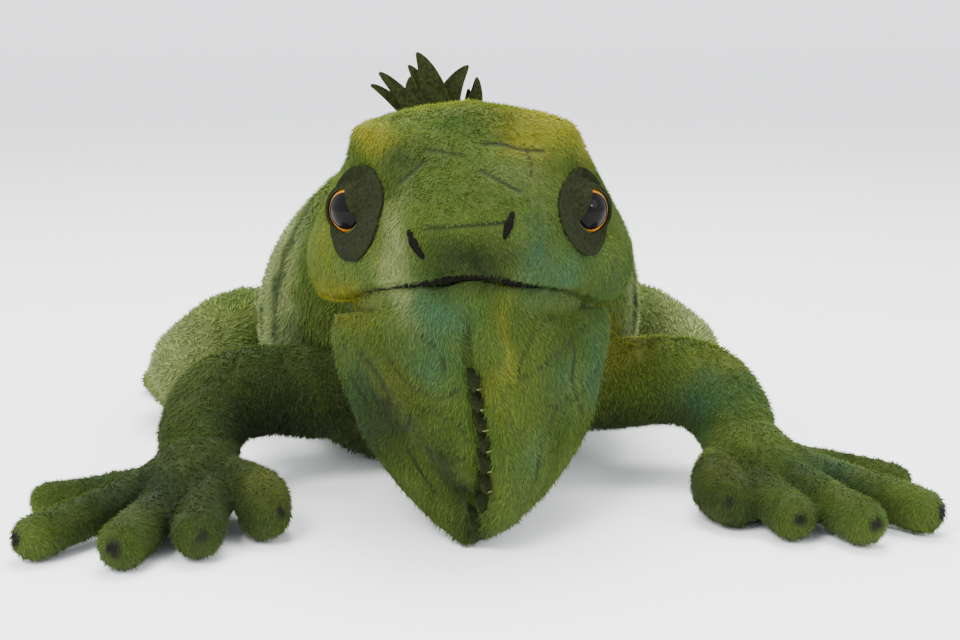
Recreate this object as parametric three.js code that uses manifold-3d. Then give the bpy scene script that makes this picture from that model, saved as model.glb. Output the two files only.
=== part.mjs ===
// Lizard hand puppet: plush skins over stuffing, sewn limbs, a glove lining for the hand,
// a mouth on stiff boards, safety eyes on shanks, and felt spikes on the crest and the dewlap.
// Millimetres. +Z is up, the puppet faces -Y, and the origin is on the belly, where it rests.
import * as THREE from "three";
import { mergeVertices } from "three/addons/utils/BufferGeometryUtils.js";
import Module from "manifold-3d";

const wasm = await Module();
wasm.setup();

// ---------- driving dimensions ----------
const bodyLength = 252; // chest to tail root
const bodyHalfWidth = 100;
const bodyHeight = 178; // shoulders over the belly
const chestY = -80; // where the body's outline starts, inside the neck
const headLength = 112; // neck centre to nose
const headHalfWidth = 72;
const headHeight = 104;
const headTurn = -7; // degrees, the head looks a little to its right
const tailLength = 335;

const plush = 3; // pile cloth with its backing
const cloth = 1.2; // lining cloth
const feltThickness = 2.4; // two layers sewn together
const gap = 0.4; // between pieces that touch
const board = 2.2; // stiff mouth board

const neckZ = 112; // centre of the neck, the point the head turns about
const neckRadius = 62;
const neckFrontGap = 16; // from the neck's centre to the head's rear edge
const neckRearGap = 27; // from the neck's centre to the body's front edge

const forelegRadius = 21.5;
const wristRadius = 19;
const fingerRadius = 9.5;
const thighRadius = 27;
const ankleRadius = 15;
const toeRadius = 6.5;
const tailRadius = 23;

const gloveHalfWidth = 42; // the hand's way through the body
const gloveHalfHeight = 30;
const openingHalfLength = 44; // hand opening in the belly

const eyeRadius = 10.5;
const eyeShankRadius = 2.5;
const eyeShankLength = 8;
const washerRadius = 8;
const washerThickness = 1.4;

const dewlapTipHeight = 1.5; // over the ground
const dewlapHalfWidth = 60;
const dewlapThickness = 5;
const dewlapFold = 27; // degrees that each half turns back from the front seam
const dewlapSpikes = 8;
const spikeThickness = 1.6;
const dewlapSwing = [-25, -12, -4, 0, 5]; // degrees, forward to back, where the dewlap clears the jaw

const rad = THREE.MathUtils.degToRad;
const V = (x, y, z) => new THREE.Vector3(x, y, z);
const neck = V(0, chestY - 5, neckZ);

// ---------- materials ----------
function finish(color, roughness = 0.95) {
  return new THREE.MeshStandardMaterial({ color, roughness, metalness: 0 });
}
const greenPlush = finish(0x5d7a35);
const paleStuffing = finish(0xe8e4d8);
const darkLining = finish(0x2b2d28);
const darkFelt = finish(0x3c4228);
const blackThread = finish(0x14100e);
const boardGrey = finish(0x8a8578, 0.8);
const eyePlastic = finish(0x120d08, 0.08);
const washerPlastic = finish(0xf0f0ec, 0.5);

// ---------- helpers ----------
function toSolid(geometry) {
  const bare = geometry.clone();
  bare.deleteAttribute("normal");
  bare.deleteAttribute("uv");
  const merged = mergeVertices(bare, 1e-3);
  return new wasm.Manifold(
    new wasm.Mesh({
      numProp: 3,
      vertProperties: merged.attributes.position.array,
      triVerts: new Uint32Array(merged.index.array),
    }),
  );
}

function toGeometry(solid) {
  const mesh = solid.getMesh();
  const geometry = new THREE.BufferGeometry();
  geometry.setAttribute("position", new THREE.BufferAttribute(new Float32Array(mesh.vertProperties), 3));
  geometry.setIndex(new THREE.BufferAttribute(new Uint32Array(mesh.triVerts), 1));
  geometry.computeVertexNormals();
  return geometry;
}

function piece(name, shape, material, parent) {
  const geometry = shape.isBufferGeometry ? shape : toGeometry(shape);
  const mesh = new THREE.Mesh(geometry, material);
  mesh.name = name;
  parent.add(mesh);
  return mesh;
}

// A ball with its poles on a vertical axis, or on the X axis for a joint that hinges about it.
function ball(centre, radius, { sides = 12, hinge = "z", turned = 0 } = {}) {
  const sphere = new THREE.SphereGeometry(radius, sides, Math.round(sides * 0.55)).rotateY(turned);
  if (hinge === "z") sphere.rotateX(Math.PI / 2);
  if (hinge === "x") sphere.rotateZ(Math.PI / 2);
  return toSolid(sphere.translate(centre.x, centre.y, centre.z));
}

// Room for such a ball to turn in. Its flat faces clear the ball's corners by the gap, and at rest
// each corner lies over the middle of a face.
function roomForBall(centre, radius, { sides = 12, hinge = "z" } = {}) {
  const flatness = Math.cos(Math.PI / sides);
  return ball(centre, (radius + gap) / flatness, { sides, hinge, turned: Math.PI / sides });
}

// The one body that is left once a cut has shaved off slivers.
function largest(solid) {
  return solid.decompose().sort((a, b) => b.volume() - a.volume())[0];
}

// A box between two corners, for cutting.
function block(low, high) {
  const size = high.clone().sub(low);
  const middle = low.clone().add(high).multiplyScalar(0.5);
  return toSolid(new THREE.BoxGeometry(size.x, size.y, size.z).translate(middle.x, middle.y, middle.z));
}

const far = 600;
const above = (z) => block(V(-far, -far, z), V(far, far, far));
const inFrontOf = (y) => block(V(-far, -far, -far), V(far, y, far));
const behind = (y) => block(V(-far, y, -far), V(far, far, far));

// A solid lofted through stations along a path. Each station has a centre, a half-width w across,
// a half-height h, and power, 2 for an ellipse and more for a squarer section. The ends close at poles.
function loft(stations, sides, startPole, endPole) {
  const last = stations.length - 1;
  const geometry = new THREE.CylinderGeometry(1, 1, 1, sides, last);
  const position = geometry.attributes.position;
  for (let i = 0; i < position.count; i++) {
    const ring = Math.round((position.getY(i) + 0.5) * last);
    const [px, pz] = [position.getX(i), position.getZ(i)];
    const s = stations[ring];
    if (Math.hypot(px, pz) < 0.5) {
      const pole = ring === 0 ? startPole || s.c : endPole || s.c;
      position.setXYZ(i, pole.x, pole.y, pole.z);
      continue;
    }
    const power = s.power || 2;
    const reach = (Math.abs(px) ** power + Math.abs(pz) ** power) ** (-1 / power);
    const p = s.c.clone();
    p.addScaledVector(s.side, px * reach * s.w);
    p.addScaledVector(s.up, pz * reach * s.h);
    position.setXYZ(i, p.x, p.y, p.z);
  }
  return geometry;
}

const capAngle = 48; // degrees from the pole to the one ring that rounds an end

// A soft tube through points with a radius at each, closed by round ends. inset shrinks it all round.
function softTube(points, radii, { sides = 10, steps = 6, inset = 0 } = {}) {
  const curve = new THREE.CatmullRomCurve3(points);
  const stations = [];
  const across = V(0, 0, 1);
  const frame = (t, shift, w) => {
    const along = curve.getTangentAt(t);
    const side = along.clone().cross(across).normalize();
    const up = side.clone().cross(along).normalize();
    return { c: curve.getPointAt(t).addScaledVector(along, shift), w, h: w, side, up };
  };
  const radiusAt = (t) => {
    const at = t * (radii.length - 1);
    const i = Math.min(Math.floor(at), radii.length - 2);
    const f = at - i;
    const smooth = f * f * (3 - 2 * f);
    return radii[i] + (radii[i + 1] - radii[i]) * smooth - inset;
  };
  const capShift = Math.cos(rad(capAngle));
  const capWidth = Math.sin(rad(capAngle));
  stations.push(frame(0, -radiusAt(0) * capShift, radiusAt(0) * capWidth));
  for (let i = 0; i <= steps; i++) stations.push(frame(i / steps, 0, radiusAt(i / steps)));
  stations.push(frame(1, radiusAt(1) * capShift, radiusAt(1) * capWidth));
  const startPole = frame(0, -radiusAt(0), 0).c;
  const endPole = frame(1, radiusAt(1), 0).c;
  return toSolid(loft(stations, sides, startPole, endPole));
}

// Value of a column in a table of [share, a, b, ...] at a share between its rows.
function tableAt(table, share, column) {
  const i = Math.max(0, Math.min(table.length - 2, table.findIndex((row) => row[0] > share) - 1));
  const f = THREE.MathUtils.clamp((share - table[i][0]) / (table[i + 1][0] - table[i][0]), 0, 1);
  return table[i][column] + (table[i + 1][column] - table[i][column]) * f;
}

// ---------- body outline ----------
// Rows hold: share of the length, half-width, bottom and top as shares of the body's width and height.
const bodyTable = [
  [0.0, 0.7, 0.16, 1.0],
  [0.07, 0.77, 0.04, 0.985],
  [0.2, 0.93, -0.04, 0.93],
  [0.32, 1.0, -0.05, 0.85],
  [0.476, 1.0, -0.05, 0.73],
  [0.635, 0.92, -0.05, 0.6],
  [0.794, 0.72, -0.035, 0.47],
  [0.913, 0.46, 0.0, 0.37],
  [0.975, 0.29, 0.04, 0.29],
];
const bodyPower = 2.2;

function bodySection(y) {
  const share = (y - chestY) / bodyLength;
  const low = tableAt(bodyTable, share, 2) * bodyHeight;
  const high = tableAt(bodyTable, share, 3) * bodyHeight;
  return { w: tableAt(bodyTable, share, 1) * bodyHalfWidth, low, high };
}

function bodySideX(y, z) {
  const s = bodySection(y);
  const lift = Math.abs((z - (s.low + s.high) / 2) / ((s.high - s.low) / 2));
  return s.w * (1 - Math.min(lift, 0.999) ** bodyPower) ** (1 / bodyPower);
}

function bodyShape(inset, sides = 16) {
  const stations = bodyTable.map(([share, w, low, high]) => {
    const [lowZ, highZ] = [low * bodyHeight, high * bodyHeight];
    const y = chestY + share * bodyLength - (share > 0.9 ? inset * 0.6 : 0);
    return {
      c: V(0, y, (lowZ + highZ) / 2),
      w: w * bodyHalfWidth - inset,
      h: (highZ - lowZ) / 2 - inset,
      side: V(1, 0, 0),
      up: V(0, 0, 1),
      power: bodyPower,
    };
  });
  const endStation = stations[stations.length - 1];
  const endPole = V(0, chestY + bodyLength - inset, endStation.c.z);
  return toSolid(loft(stations, sides, stations[0].c, endPole)).intersect(above(inset));
}

// ---------- head outline, in the head's own frame, with the neck's centre at the origin ----------
const headTable = [
  [0.0, 0.86, -0.3, 0.6],
  [0.14, 0.95, -0.28, 0.66],
  [0.28, 1.0, -0.26, 0.71],
  [0.42, 0.9, -0.21, 0.71],
  [0.58, 0.71, -0.13, 0.63],
  [0.76, 0.51, -0.06, 0.46],
  [0.9, 0.36, -0.02, 0.31],
  [0.98, 0.23, 0.03, 0.23],
];
const headPower = 2.6;

function headStation([share, w, low, high], inset) {
  const [lowZ, highZ] = [low * headHeight, high * headHeight];
  return {
    c: V(0, -share * headLength, (lowZ + highZ) / 2),
    w: w * headHalfWidth - inset,
    h: (highZ - lowZ) / 2 - inset,
    side: V(-1, 0, 0),
    up: V(0, 0, 1),
    power: headPower,
  };
}

function headShape(inset) {
  const stations = headTable.map((row) => headStation(row, inset));
  const endStation = stations[stations.length - 1];
  const endPole = V(0, -headLength + inset, endStation.c.z);
  stations.forEach((s, i) => {
    if (i > 5) s.c.y += inset * 0.6;
  });
  return toSolid(loft(stations, 18, stations[0].c, endPole));
}

// Point on the head's side at a distance ahead of the neck and a height, with the outward normal there.
function headSide(ahead, z) {
  const at = (d, height) => {
    const share = d / headLength;
    const low = tableAt(headTable, share, 2) * headHeight;
    const high = tableAt(headTable, share, 3) * headHeight;
    const lift = Math.abs((height - (low + high) / 2) / ((high - low) / 2));
    const w = tableAt(headTable, share, 1) * headHalfWidth;
    return V(w * (1 - Math.min(lift, 0.999) ** headPower) ** (1 / headPower), -d, height);
  };
  const point = at(ahead, z);
  const alongY = at(ahead + 4, z).sub(at(ahead - 4, z));
  const alongZ = at(ahead, z + 4).sub(at(ahead, z - 4));
  const normal = alongY.cross(alongZ).normalize();
  return { point, normal: normal.x < 0 ? normal.negate() : normal };
}

const neckSides = 24;
const neckCut = roomForBall(V(0, 0, 0), neckRadius, { sides: neckSides });
const neckCutInRow = neckCut.translate([neck.x, neck.y, neck.z]);

const puppet = new THREE.Group();
puppet.name = "puppet";

// ---------- sewn joints of the limbs ----------
const shoulderY = chestY + 20;
const shoulderZ = 44;
const shoulderX = bodySideX(shoulderY, shoulderZ) - 3;
const hipY = chestY + 168;
const hipZ = 46;
const hipX = bodySideX(hipY, hipZ) - 5;
const tailRoot = V(0, chestY + bodyLength - 8, 33);
const jointBall = { shoulder: forelegRadius + 0.5, hip: thighRadius - 1, tail: tailRadius };

const shoulderSwing = 15; // degrees each way, about a vertical axis
const hipSwing = 12;
const tailSwing = 25;

// The room that the body takes up, seen from a limb that swings about a vertical axis through its joint.
function sweptBody(pivot, swing) {
  const body = bodyShape(-2 * gap).subtract(inFrontOf(neck.y + neckRearGap - gap));
  const seen = [-swing, 0, swing].map((angle) => {
    const centred = body.translate([-pivot.x, -pivot.y, 0]);
    return centred.rotate([0, 0, angle]).translate([pivot.x, pivot.y, 0]);
  });
  return wasm.Manifold.union(seen);
}

function sockets() {
  const balls = [roomForBall(tailRoot, jointBall.tail)];
  for (const s of [-1, 1]) {
    balls.push(roomForBall(V(s * shoulderX, shoulderY, shoulderZ), jointBall.shoulder));
    balls.push(roomForBall(V(s * hipX, hipY, hipZ), jointBall.hip));
  }
  return wasm.Manifold.union(balls);
}

// ---------- the glove lining, from the belly opening up to the neck ----------
const openingY = chestY + 168;
const gloveRoute = [
  V(0, openingY, -8),
  V(0, openingY - 4, 18),
  V(0, openingY - 24, 46),
  V(0, openingY - 60, 68),
  V(0, openingY - 105, 88),
  V(0, neck.y, neck.z + 4),
];

function gloveShape(outset) {
  const curve = new THREE.CatmullRomCurve3(gloveRoute);
  const steps = 8;
  const stations = [];
  for (let i = 0; i <= steps; i++) {
    const t = i / steps;
    const along = curve.getTangentAt(t);
    const side = V(1, 0, 0);
    const up = side.clone().cross(along).normalize();
    const narrowing = THREE.MathUtils.smoothstep(t, 0.1, 0.45);
    const h = THREE.MathUtils.lerp(openingHalfLength - 3, gloveHalfHeight, narrowing);
    stations.push({ c: curve.getPointAt(t), w: gloveHalfWidth + outset, h: h + outset, side, up });
  }
  return toSolid(loft(stations, 16));
}

function ovalHole(halfWidth, halfLength, low, high) {
  const oval = new THREE.CylinderGeometry(1, 1, high - low, 20).rotateX(Math.PI / 2);
  return toSolid(oval.scale(halfWidth, halfLength, 1).translate(0, openingY, (low + high) / 2));
}

// ---------- body ----------
function buildBody() {
  const cutAway = wasm.Manifold.union([inFrontOf(neck.y + neckRearGap), neckCutInRow, sockets()]);
  const hemOut = 3.6;
  const hemWidth = gloveHalfWidth + hemOut + 2;
  const hemLength = openingHalfLength + hemOut;
  const hemHole = ovalHole(hemWidth, hemLength, -20, 11);

  // The upper skin is sewn round the edge of a flat belly panel, which holds the hand opening.
  const outside = bodyShape(0).subtract(cutAway);
  const upper = outside.subtract(bodyShape(plush)).intersect(above(plush + gap));
  piece("body_skin", upper.subtract(hemHole), greenPlush, puppet);
  piece("belly_skin", outside.subtract(above(plush)).subtract(hemHole), greenPlush, puppet);

  const stuffing = bodyShape(plush + gap).subtract(gloveShape(cloth + gap)).subtract(cutAway);
  piece("body_stuffing", stuffing.subtract(hemHole), paleStuffing, puppet);

  const tube = gloveShape(cloth).subtract(gloveShape(0)).subtract(neckCutInRow);
  piece("glove_lining", tube.intersect(above(0.2)), darkLining, puppet);

  const ring = ovalHole(hemWidth - gap, hemLength - gap, 0, 10.5).subtract(gloveShape(cloth + gap));
  piece("hem_binding", ring, darkLining, puppet);
}

// ---------- crest: felt spikes from the nape to the tail ----------
function spikeShape(width, length, lean) {
  const shape = new THREE.Shape();
  shape.moveTo(-width / 2, 0);
  shape.quadraticCurveTo(-width * 0.45, length * 0.55, lean - 1.2, length);
  shape.lineTo(lean + 1.2, length);
  shape.quadraticCurveTo(width * 0.5, length * 0.5, width / 2, 0);
  shape.closePath();
  return shape;
}

function feltSpike(width, length, lean, thickness) {
  const options = { depth: thickness, bevelEnabled: false, curveSegments: 3 };
  const spike = new THREE.ExtrudeGeometry(spikeShape(width, length, lean), options);
  return spike.translate(0, 0, -thickness / 2);
}

const backTopZ = (y) => bodySection(y).high;
const napeX = -12; // the nape's spikes lie to the right of the spine, as the neck turns that way

function buildCrest() {
  // distance behind the first, width, length, lean, tilt sideways in degrees
  const napeSpikes = [
    [0, 13, 42, 1, -42],
    [7, 13, 36, -1, -20],
    [14, 18, 48, 1, -12],
    [21, 15, 46, 1, 22],
    [28, 13, 40, 1, 34],
  ];
  const back = bodyShape(-gap);
  napeSpikes.forEach(([behindNeck, width, length, lean, tilt], i) => {
    const y = neck.y + neckRearGap + 8 + behindNeck;
    const spike = feltSpike(width, length, lean, feltThickness).rotateZ(rad(-tilt)).rotateX(Math.PI / 2);
    const standing = toSolid(spike.translate(napeX, y, backTopZ(y) - 4));
    piece(`nape_spike_${i + 1}`, standing.subtract(back), darkFelt, puppet);
  });

  // One felt strip of low spikes stands on the spine, from behind the nape to the tail root.
  const [startY, endY, spikes] = [neck.y + neckRearGap + 48, tailRoot.y - 34, 8];
  const pitch = (endY - startY) / spikes;
  const strip = new THREE.Shape();
  strip.moveTo(startY, backTopZ(startY) - 4);
  for (let i = 0; i < spikes; i++) {
    const y = startY + i * pitch;
    const height = 20 - 11 * (i / spikes);
    strip.lineTo(y + pitch * 0.75, backTopZ(y + pitch) + height);
    strip.lineTo(y + pitch, backTopZ(y + pitch) + 4);
  }
  strip.lineTo(endY, backTopZ(endY) - 4);
  for (let i = spikes - 1; i > 0; i--) {
    const y = startY + i * pitch;
    strip.lineTo(y, backTopZ(y) - 4);
  }
  strip.closePath();
  const options = { depth: feltThickness, bevelEnabled: false };
  const upright = new THREE.ExtrudeGeometry(strip, options).translate(0, 0, -feltThickness / 2);
  // the outline's x runs along +Y and its y along +Z
  const turn = new THREE.Matrix4().makeBasis(V(0, 1, 0), V(0, 0, 1), V(1, 0, 0));
  piece("back_crest_strip", toSolid(upright.applyMatrix4(turn)).subtract(back), darkFelt, puppet);
}

// ---------- neck ----------
const neckPivot = new THREE.Group();
neckPivot.name = "neck_turn";
neckPivot.position.copy(neck);
puppet.add(neckPivot);

function buildNeck() {
  const zone = block(V(-far, -neckFrontGap - 8, -far), V(far, neckRearGap + 8, far));
  const neckBall = (inset) => ball(V(0, 0, 0), neckRadius - inset, { sides: neckSides });
  const skin = neckBall(0).subtract(neckBall(plush));
  piece("neck_skin", skin.intersect(zone), greenPlush, neckPivot);

  const sleeve = (outset) => {
    const tube = new THREE.CylinderGeometry(1, 1, 2 * far, 16);
    return toSolid(tube.scale(gloveHalfWidth + outset, 1, gloveHalfHeight + outset).translate(0, 0, 4));
  };
  const padding = neckBall(plush + gap).intersect(zone);
  piece("neck_stuffing", padding.subtract(sleeve(cloth + gap)), paleStuffing, neckPivot);
  const lining = sleeve(cloth).subtract(sleeve(0)).intersect(padding);
  piece("neck_lining", lining, darkLining, neckPivot);
}

// ---------- head ----------
const head = new THREE.Group();
head.name = "head_nod";
head.rotation.z = rad(headTurn);
neckPivot.add(head);

// The mouth's own frame: its hinge line is its X axis, and the mouth line is its XY plane.
const mouthHinge = V(0, -21, -13);
const mouthSlope = -12.5; // degrees, the lip is higher than the hinge
const mouth = new THREE.Group();
mouth.position.copy(mouthHinge);
mouth.rotation.x = rad(mouthSlope);
mouth.name = "mouth";
head.add(mouth);
const toMouth = (solid) => {
  const back = solid.translate([-mouthHinge.x, -mouthHinge.y, -mouthHinge.z]);
  return back.rotate([-mouthSlope, 0, 0]);
};
const mouthLength = headLength + mouthHinge.y - 3;
const palateHalfWidth = 54;
const fingerPocket = { halfWidth: 36, halfHeight: 11, z: 20, depth: 88 };

// A flat plate in the mouth plane, square at the hinge and round at the lip.
function mouthPlate(halfWidth, length, low, high) {
  const shape = new THREE.Shape();
  shape.moveTo(halfWidth, -2);
  shape.lineTo(-halfWidth, -2);
  shape.lineTo(-halfWidth, -length * 0.35);
  shape.bezierCurveTo(-halfWidth, -length * 0.8, -halfWidth * 0.6, -length, 0, -length);
  shape.bezierCurveTo(halfWidth * 0.6, -length, halfWidth, -length * 0.8, halfWidth, -length * 0.35);
  shape.closePath();
  const options = { depth: high - low, bevelEnabled: false, curveSegments: 6 };
  return new THREE.ExtrudeGeometry(shape, options).translate(0, 0, low);
}

function pocketShape(halfWidth, halfHeight, z, depth, outset) {
  const ends = [V(0, 10, z), V(0, -depth * 0.75, z), V(0, -depth, z)];
  const widths = [halfWidth, halfWidth * 0.95, halfWidth * 0.55];
  const stations = ends.map((c, i) => ({
    c: i === 2 ? c.clone().add(V(0, -outset, 0)) : c,
    w: widths[i] + outset,
    h: halfHeight + outset,
    side: V(-1, 0, 0),
    up: V(0, 0, 1),
  }));
  return toSolid(loft(stations, 16));
}

const eyeSeat = headSide(63, 31);
const eyeSink = 1.3; // the dome beds this far into the pile
const washerTop = eyeSink - plush - 1.6; // clear of the skin's curved inside

function eyeFrame(side) {
  const group = new THREE.Group();
  const normal = V(side * eyeSeat.normal.x, eyeSeat.normal.y - 0.12, eyeSeat.normal.z * 0.3).normalize();
  const point = V(side * eyeSeat.point.x, eyeSeat.point.y, eyeSeat.point.z);
  group.position.copy(point.addScaledVector(normal, -eyeSink));
  group.quaternion.setFromUnitVectors(V(0, 0, 1), normal);
  group.updateMatrix();
  return group;
}

// A solid made along +Z of the eye's frame, brought into the head's frame.
function fromEye(side, geometry) {
  return toSolid(geometry.applyMatrix4(eyeFrame(side).matrix));
}

// A round bar along Z between two heights.
function rod(radius, low, high, sides = 12) {
  const upright = new THREE.CylinderGeometry(radius, radius, high - low, sides).rotateX(Math.PI / 2);
  return upright.translate(0, 0, (low + high) / 2);
}

function buildEye(side, name) {
  const frame = eyeFrame(side);
  head.add(frame);
  const profile = [new THREE.Vector2(0, -eyeShankLength)];
  profile.push(new THREE.Vector2(eyeShankRadius, -eyeShankLength), new THREE.Vector2(eyeShankRadius, 0));
  profile.push(new THREE.Vector2(eyeRadius, 0));
  for (let a = 0; a < 90; a += 18) {
    profile.push(new THREE.Vector2(eyeRadius * Math.cos(rad(a)), 1.2 + 6.2 * Math.sin(rad(a))));
  }
  profile.push(new THREE.Vector2(0, 7.4));
  const dome = new THREE.LatheGeometry(profile, 14).rotateX(Math.PI / 2);
  piece(`${name}_eye`, dome, eyePlastic, frame);

  const disc = toSolid(rod(washerRadius, washerTop - washerThickness, washerTop));
  const shankHole = toSolid(rod(eyeShankRadius + gap, -20, 0));
  piece(`${name}_eye_washer`, disc.subtract(shankHole), washerPlastic, frame);
}

function buildHead() {
  const mouthCut = above(0.4).rotate([mouthSlope, 0, 0]).translate([0, mouthHinge.y, mouthHinge.z]);
  const rear = behind(-neckFrontGap);
  const shankHoles = [-1, 1].map((s) => fromEye(s, rod(eyeShankRadius + gap, -20, 10)));
  const domeSeats = [-1, 1].map((s) => fromEye(s, rod(eyeRadius + gap, -gap, 20)));
  const washerRooms = [-1, 1].map((s) => fromEye(s, rod(washerRadius + 1, -eyeShankLength - 1, 1)));

  const shell = headShape(0).subtract(headShape(plush)).intersect(mouthCut);
  let skin = shell.subtract(rear).subtract(neckCut);
  for (const hole of [...shankHoles, ...domeSeats]) skin = skin.subtract(hole);
  piece("head_skin", skin, greenPlush, head);

  const { halfWidth, halfHeight, z, depth } = fingerPocket;
  const shaped = (outset) => pocketShape(halfWidth, halfHeight, z, depth, outset);
  let stuffing = headShape(plush + gap).subtract(rear).subtract(neckCut).subtract(shaped(cloth + gap));
  const roof = board + cloth + 3 * gap;
  stuffing = toMouth(stuffing).intersect(above(roof)).rotate([mouthSlope, 0, 0]);
  stuffing = stuffing.translate([mouthHinge.x, mouthHinge.y, mouthHinge.z]);
  for (const room of washerRooms) stuffing = stuffing.subtract(room);
  piece("head_stuffing", stuffing, paleStuffing, head);

  const fingerTube = shaped(cloth).subtract(shaped(0)).subtract(rear).subtract(neckCut);
  piece("finger_pocket", fingerTube, darkLining, head);

  const clearOfNeck = toMouth(neckCut);
  const inHead = toMouth(headShape(plush + gap));
  const plateWithin = (plate) => toSolid(plate).intersect(inHead).subtract(clearOfNeck);
  const palate = mouthPlate(palateHalfWidth, mouthLength, cloth + 2 * gap, cloth + 2 * gap + board);
  piece("palate_board", plateWithin(palate), boardGrey, mouth);
  const roofCloth = mouthPlate(palateHalfWidth, mouthLength, gap, gap + cloth);
  piece("upper_mouth_lining", plateWithin(roofCloth), darkLining, mouth);

  buildEye(-1, "right");
  buildEye(1, "left");

  // Felt eye patches lie on the plush round each eye.
  const feltLayer = headShape(-gap - 1.6).subtract(headShape(-gap));
  for (const [side, name] of [[-1, "right"], [1, "left"]]) {
    const oval = rod(1, -14, 14, 14).scale(18, 25, 1).rotateZ(side * rad(8));
    let patch = feltLayer.intersect(fromEye(side, oval));
    patch = patch.subtract(fromEye(side, rod(eyeRadius + gap, -14, 14)));
    piece(`${name}_eye_patch`, largest(patch), darkFelt, head);
  }

  // Thread: the lip line and the two nostrils are stitched on the plush.
  const threadLayer = headShape(-gap - 1.4).subtract(headShape(-gap));
  const lipBand = block(V(-31, -far, 0.6), V(31, -40, 4.4));
  const lip = toMouth(threadLayer).intersect(lipBand);
  piece("lip_stitching", lip, blackThread, mouth);
  for (const [side, name] of [[-1, "right"], [1, "left"]]) {
    const outward = V(side * 19, -45, 20).normalize();
    const slit = rod(1, 20, 70, 10).scale(2.4, 5.5, 1).rotateZ(side * 0.5);
    slit.applyQuaternion(new THREE.Quaternion().setFromUnitVectors(V(0, 0, 1), outward));
    const stitches = threadLayer.intersect(toSolid(slit.translate(0, -headLength + 54, 6)));
    piece(`${name}_nostril_stitching`, largest(stitches), blackThread, head);
  }
}

// ---------- lower jaw, in the mouth's frame ----------
const jaw = new THREE.Group();
jaw.name = "jaw_open";
mouth.add(jaw);
const jawHalfWidth = 55;
const thumbPocket = { halfWidth: 16, halfHeight: 6, depth: 52 };
const jawDepth = 24;

function jawShape(inset, ceiling = -gap) {
  const rows = [
    [-4, 0.72, 0.75],
    [8, 0.92, 0.95],
    [30, 1.0, 1.0],
    [55, 0.86, 0.95],
    [72, 0.62, 0.85],
    [82, 0.42, 0.6],
  ];
  const stations = rows.map(([ahead, w, h]) => ({
    c: V(0, -ahead, 0),
    w: w * jawHalfWidth - inset,
    h: h * jawDepth - inset,
    side: V(-1, 0, 0),
    up: V(0, 0, 1),
    power: 2.4,
  }));
  const startPole = V(0, 6 - inset, 0);
  const endPole = V(0, -mouthLength + inset, 0);
  return toSolid(loft(stations, 20, startPole, endPole)).subtract(above(ceiling));
}

function buildJaw() {
  const cut = toMouth(roomForBall(V(0, 0, 0), neckRadius + gap, { sides: neckSides }));
  const boardTop = -cloth - 2 * gap;
  const boardLow = boardTop - board;
  const pocketZ = boardLow - gap - cloth - thumbPocket.halfHeight;
  const { halfWidth, halfHeight, depth } = thumbPocket;
  const shaped = (outset) => pocketShape(halfWidth, halfHeight, pocketZ, depth, outset);
  piece("jaw_skin", jawShape(0).subtract(jawShape(plush, far / 2)).subtract(cut), greenPlush, jaw);
  const padding = jawShape(plush + gap).subtract(above(boardLow - gap)).subtract(cut);
  piece("jaw_stuffing", padding.subtract(shaped(cloth + gap)), paleStuffing, jaw);
  const thumbTube = shaped(cloth).subtract(shaped(0)).subtract(cut);
  piece("thumb_pocket", thumbTube, darkLining, jaw);
  const within = (solid) => solid.intersect(jawShape(plush + gap, far / 2)).subtract(cut);
  const plateWidth = jawHalfWidth - plush;
  const plate = toSolid(mouthPlate(plateWidth, mouthLength - plush - gap, boardLow, boardTop));
  piece("jaw_board", within(plate), boardGrey, jaw);
  const floorCloth = toSolid(mouthPlate(plateWidth, mouthLength - plush - gap, -gap - cloth, -gap));
  piece("lower_mouth_lining", within(floorCloth), darkLining, jaw);
}

// ---------- dewlap, hung from the jaw ----------
const dewlap = new THREE.Group();
dewlap.name = "dewlap_swing";
dewlap.position.set(0, -72, -jawDepth);
dewlap.rotation.x = rad(-mouthSlope);
jaw.add(dewlap);
const dewlapTop = dewlap.getWorldPosition(V(0, 0, 0)).z;
const dewlapDrop = dewlapTop - dewlapTipHeight;

// Half of the leaf-shaped flap: a straight seam in front, and a full outer edge down to the tip.
function dewlapHalf() {
  const [w, d] = [dewlapHalfWidth, dewlapDrop];
  const rise = jawDepth * 0.8;
  const shape = new THREE.Shape();
  shape.moveTo(1, rise);
  shape.lineTo(w * 0.86, rise);
  shape.lineTo(w * 0.9, 0);
  shape.bezierCurveTo(w * 1.06, -d * 0.2, w * 0.88, -d * 0.5, w * 0.62, -d * 0.75);
  shape.bezierCurveTo(w * 0.45, -d * 0.9, w * 0.2, -d * 0.98, 1, -d);
  shape.closePath();
  return shape;
}

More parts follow.
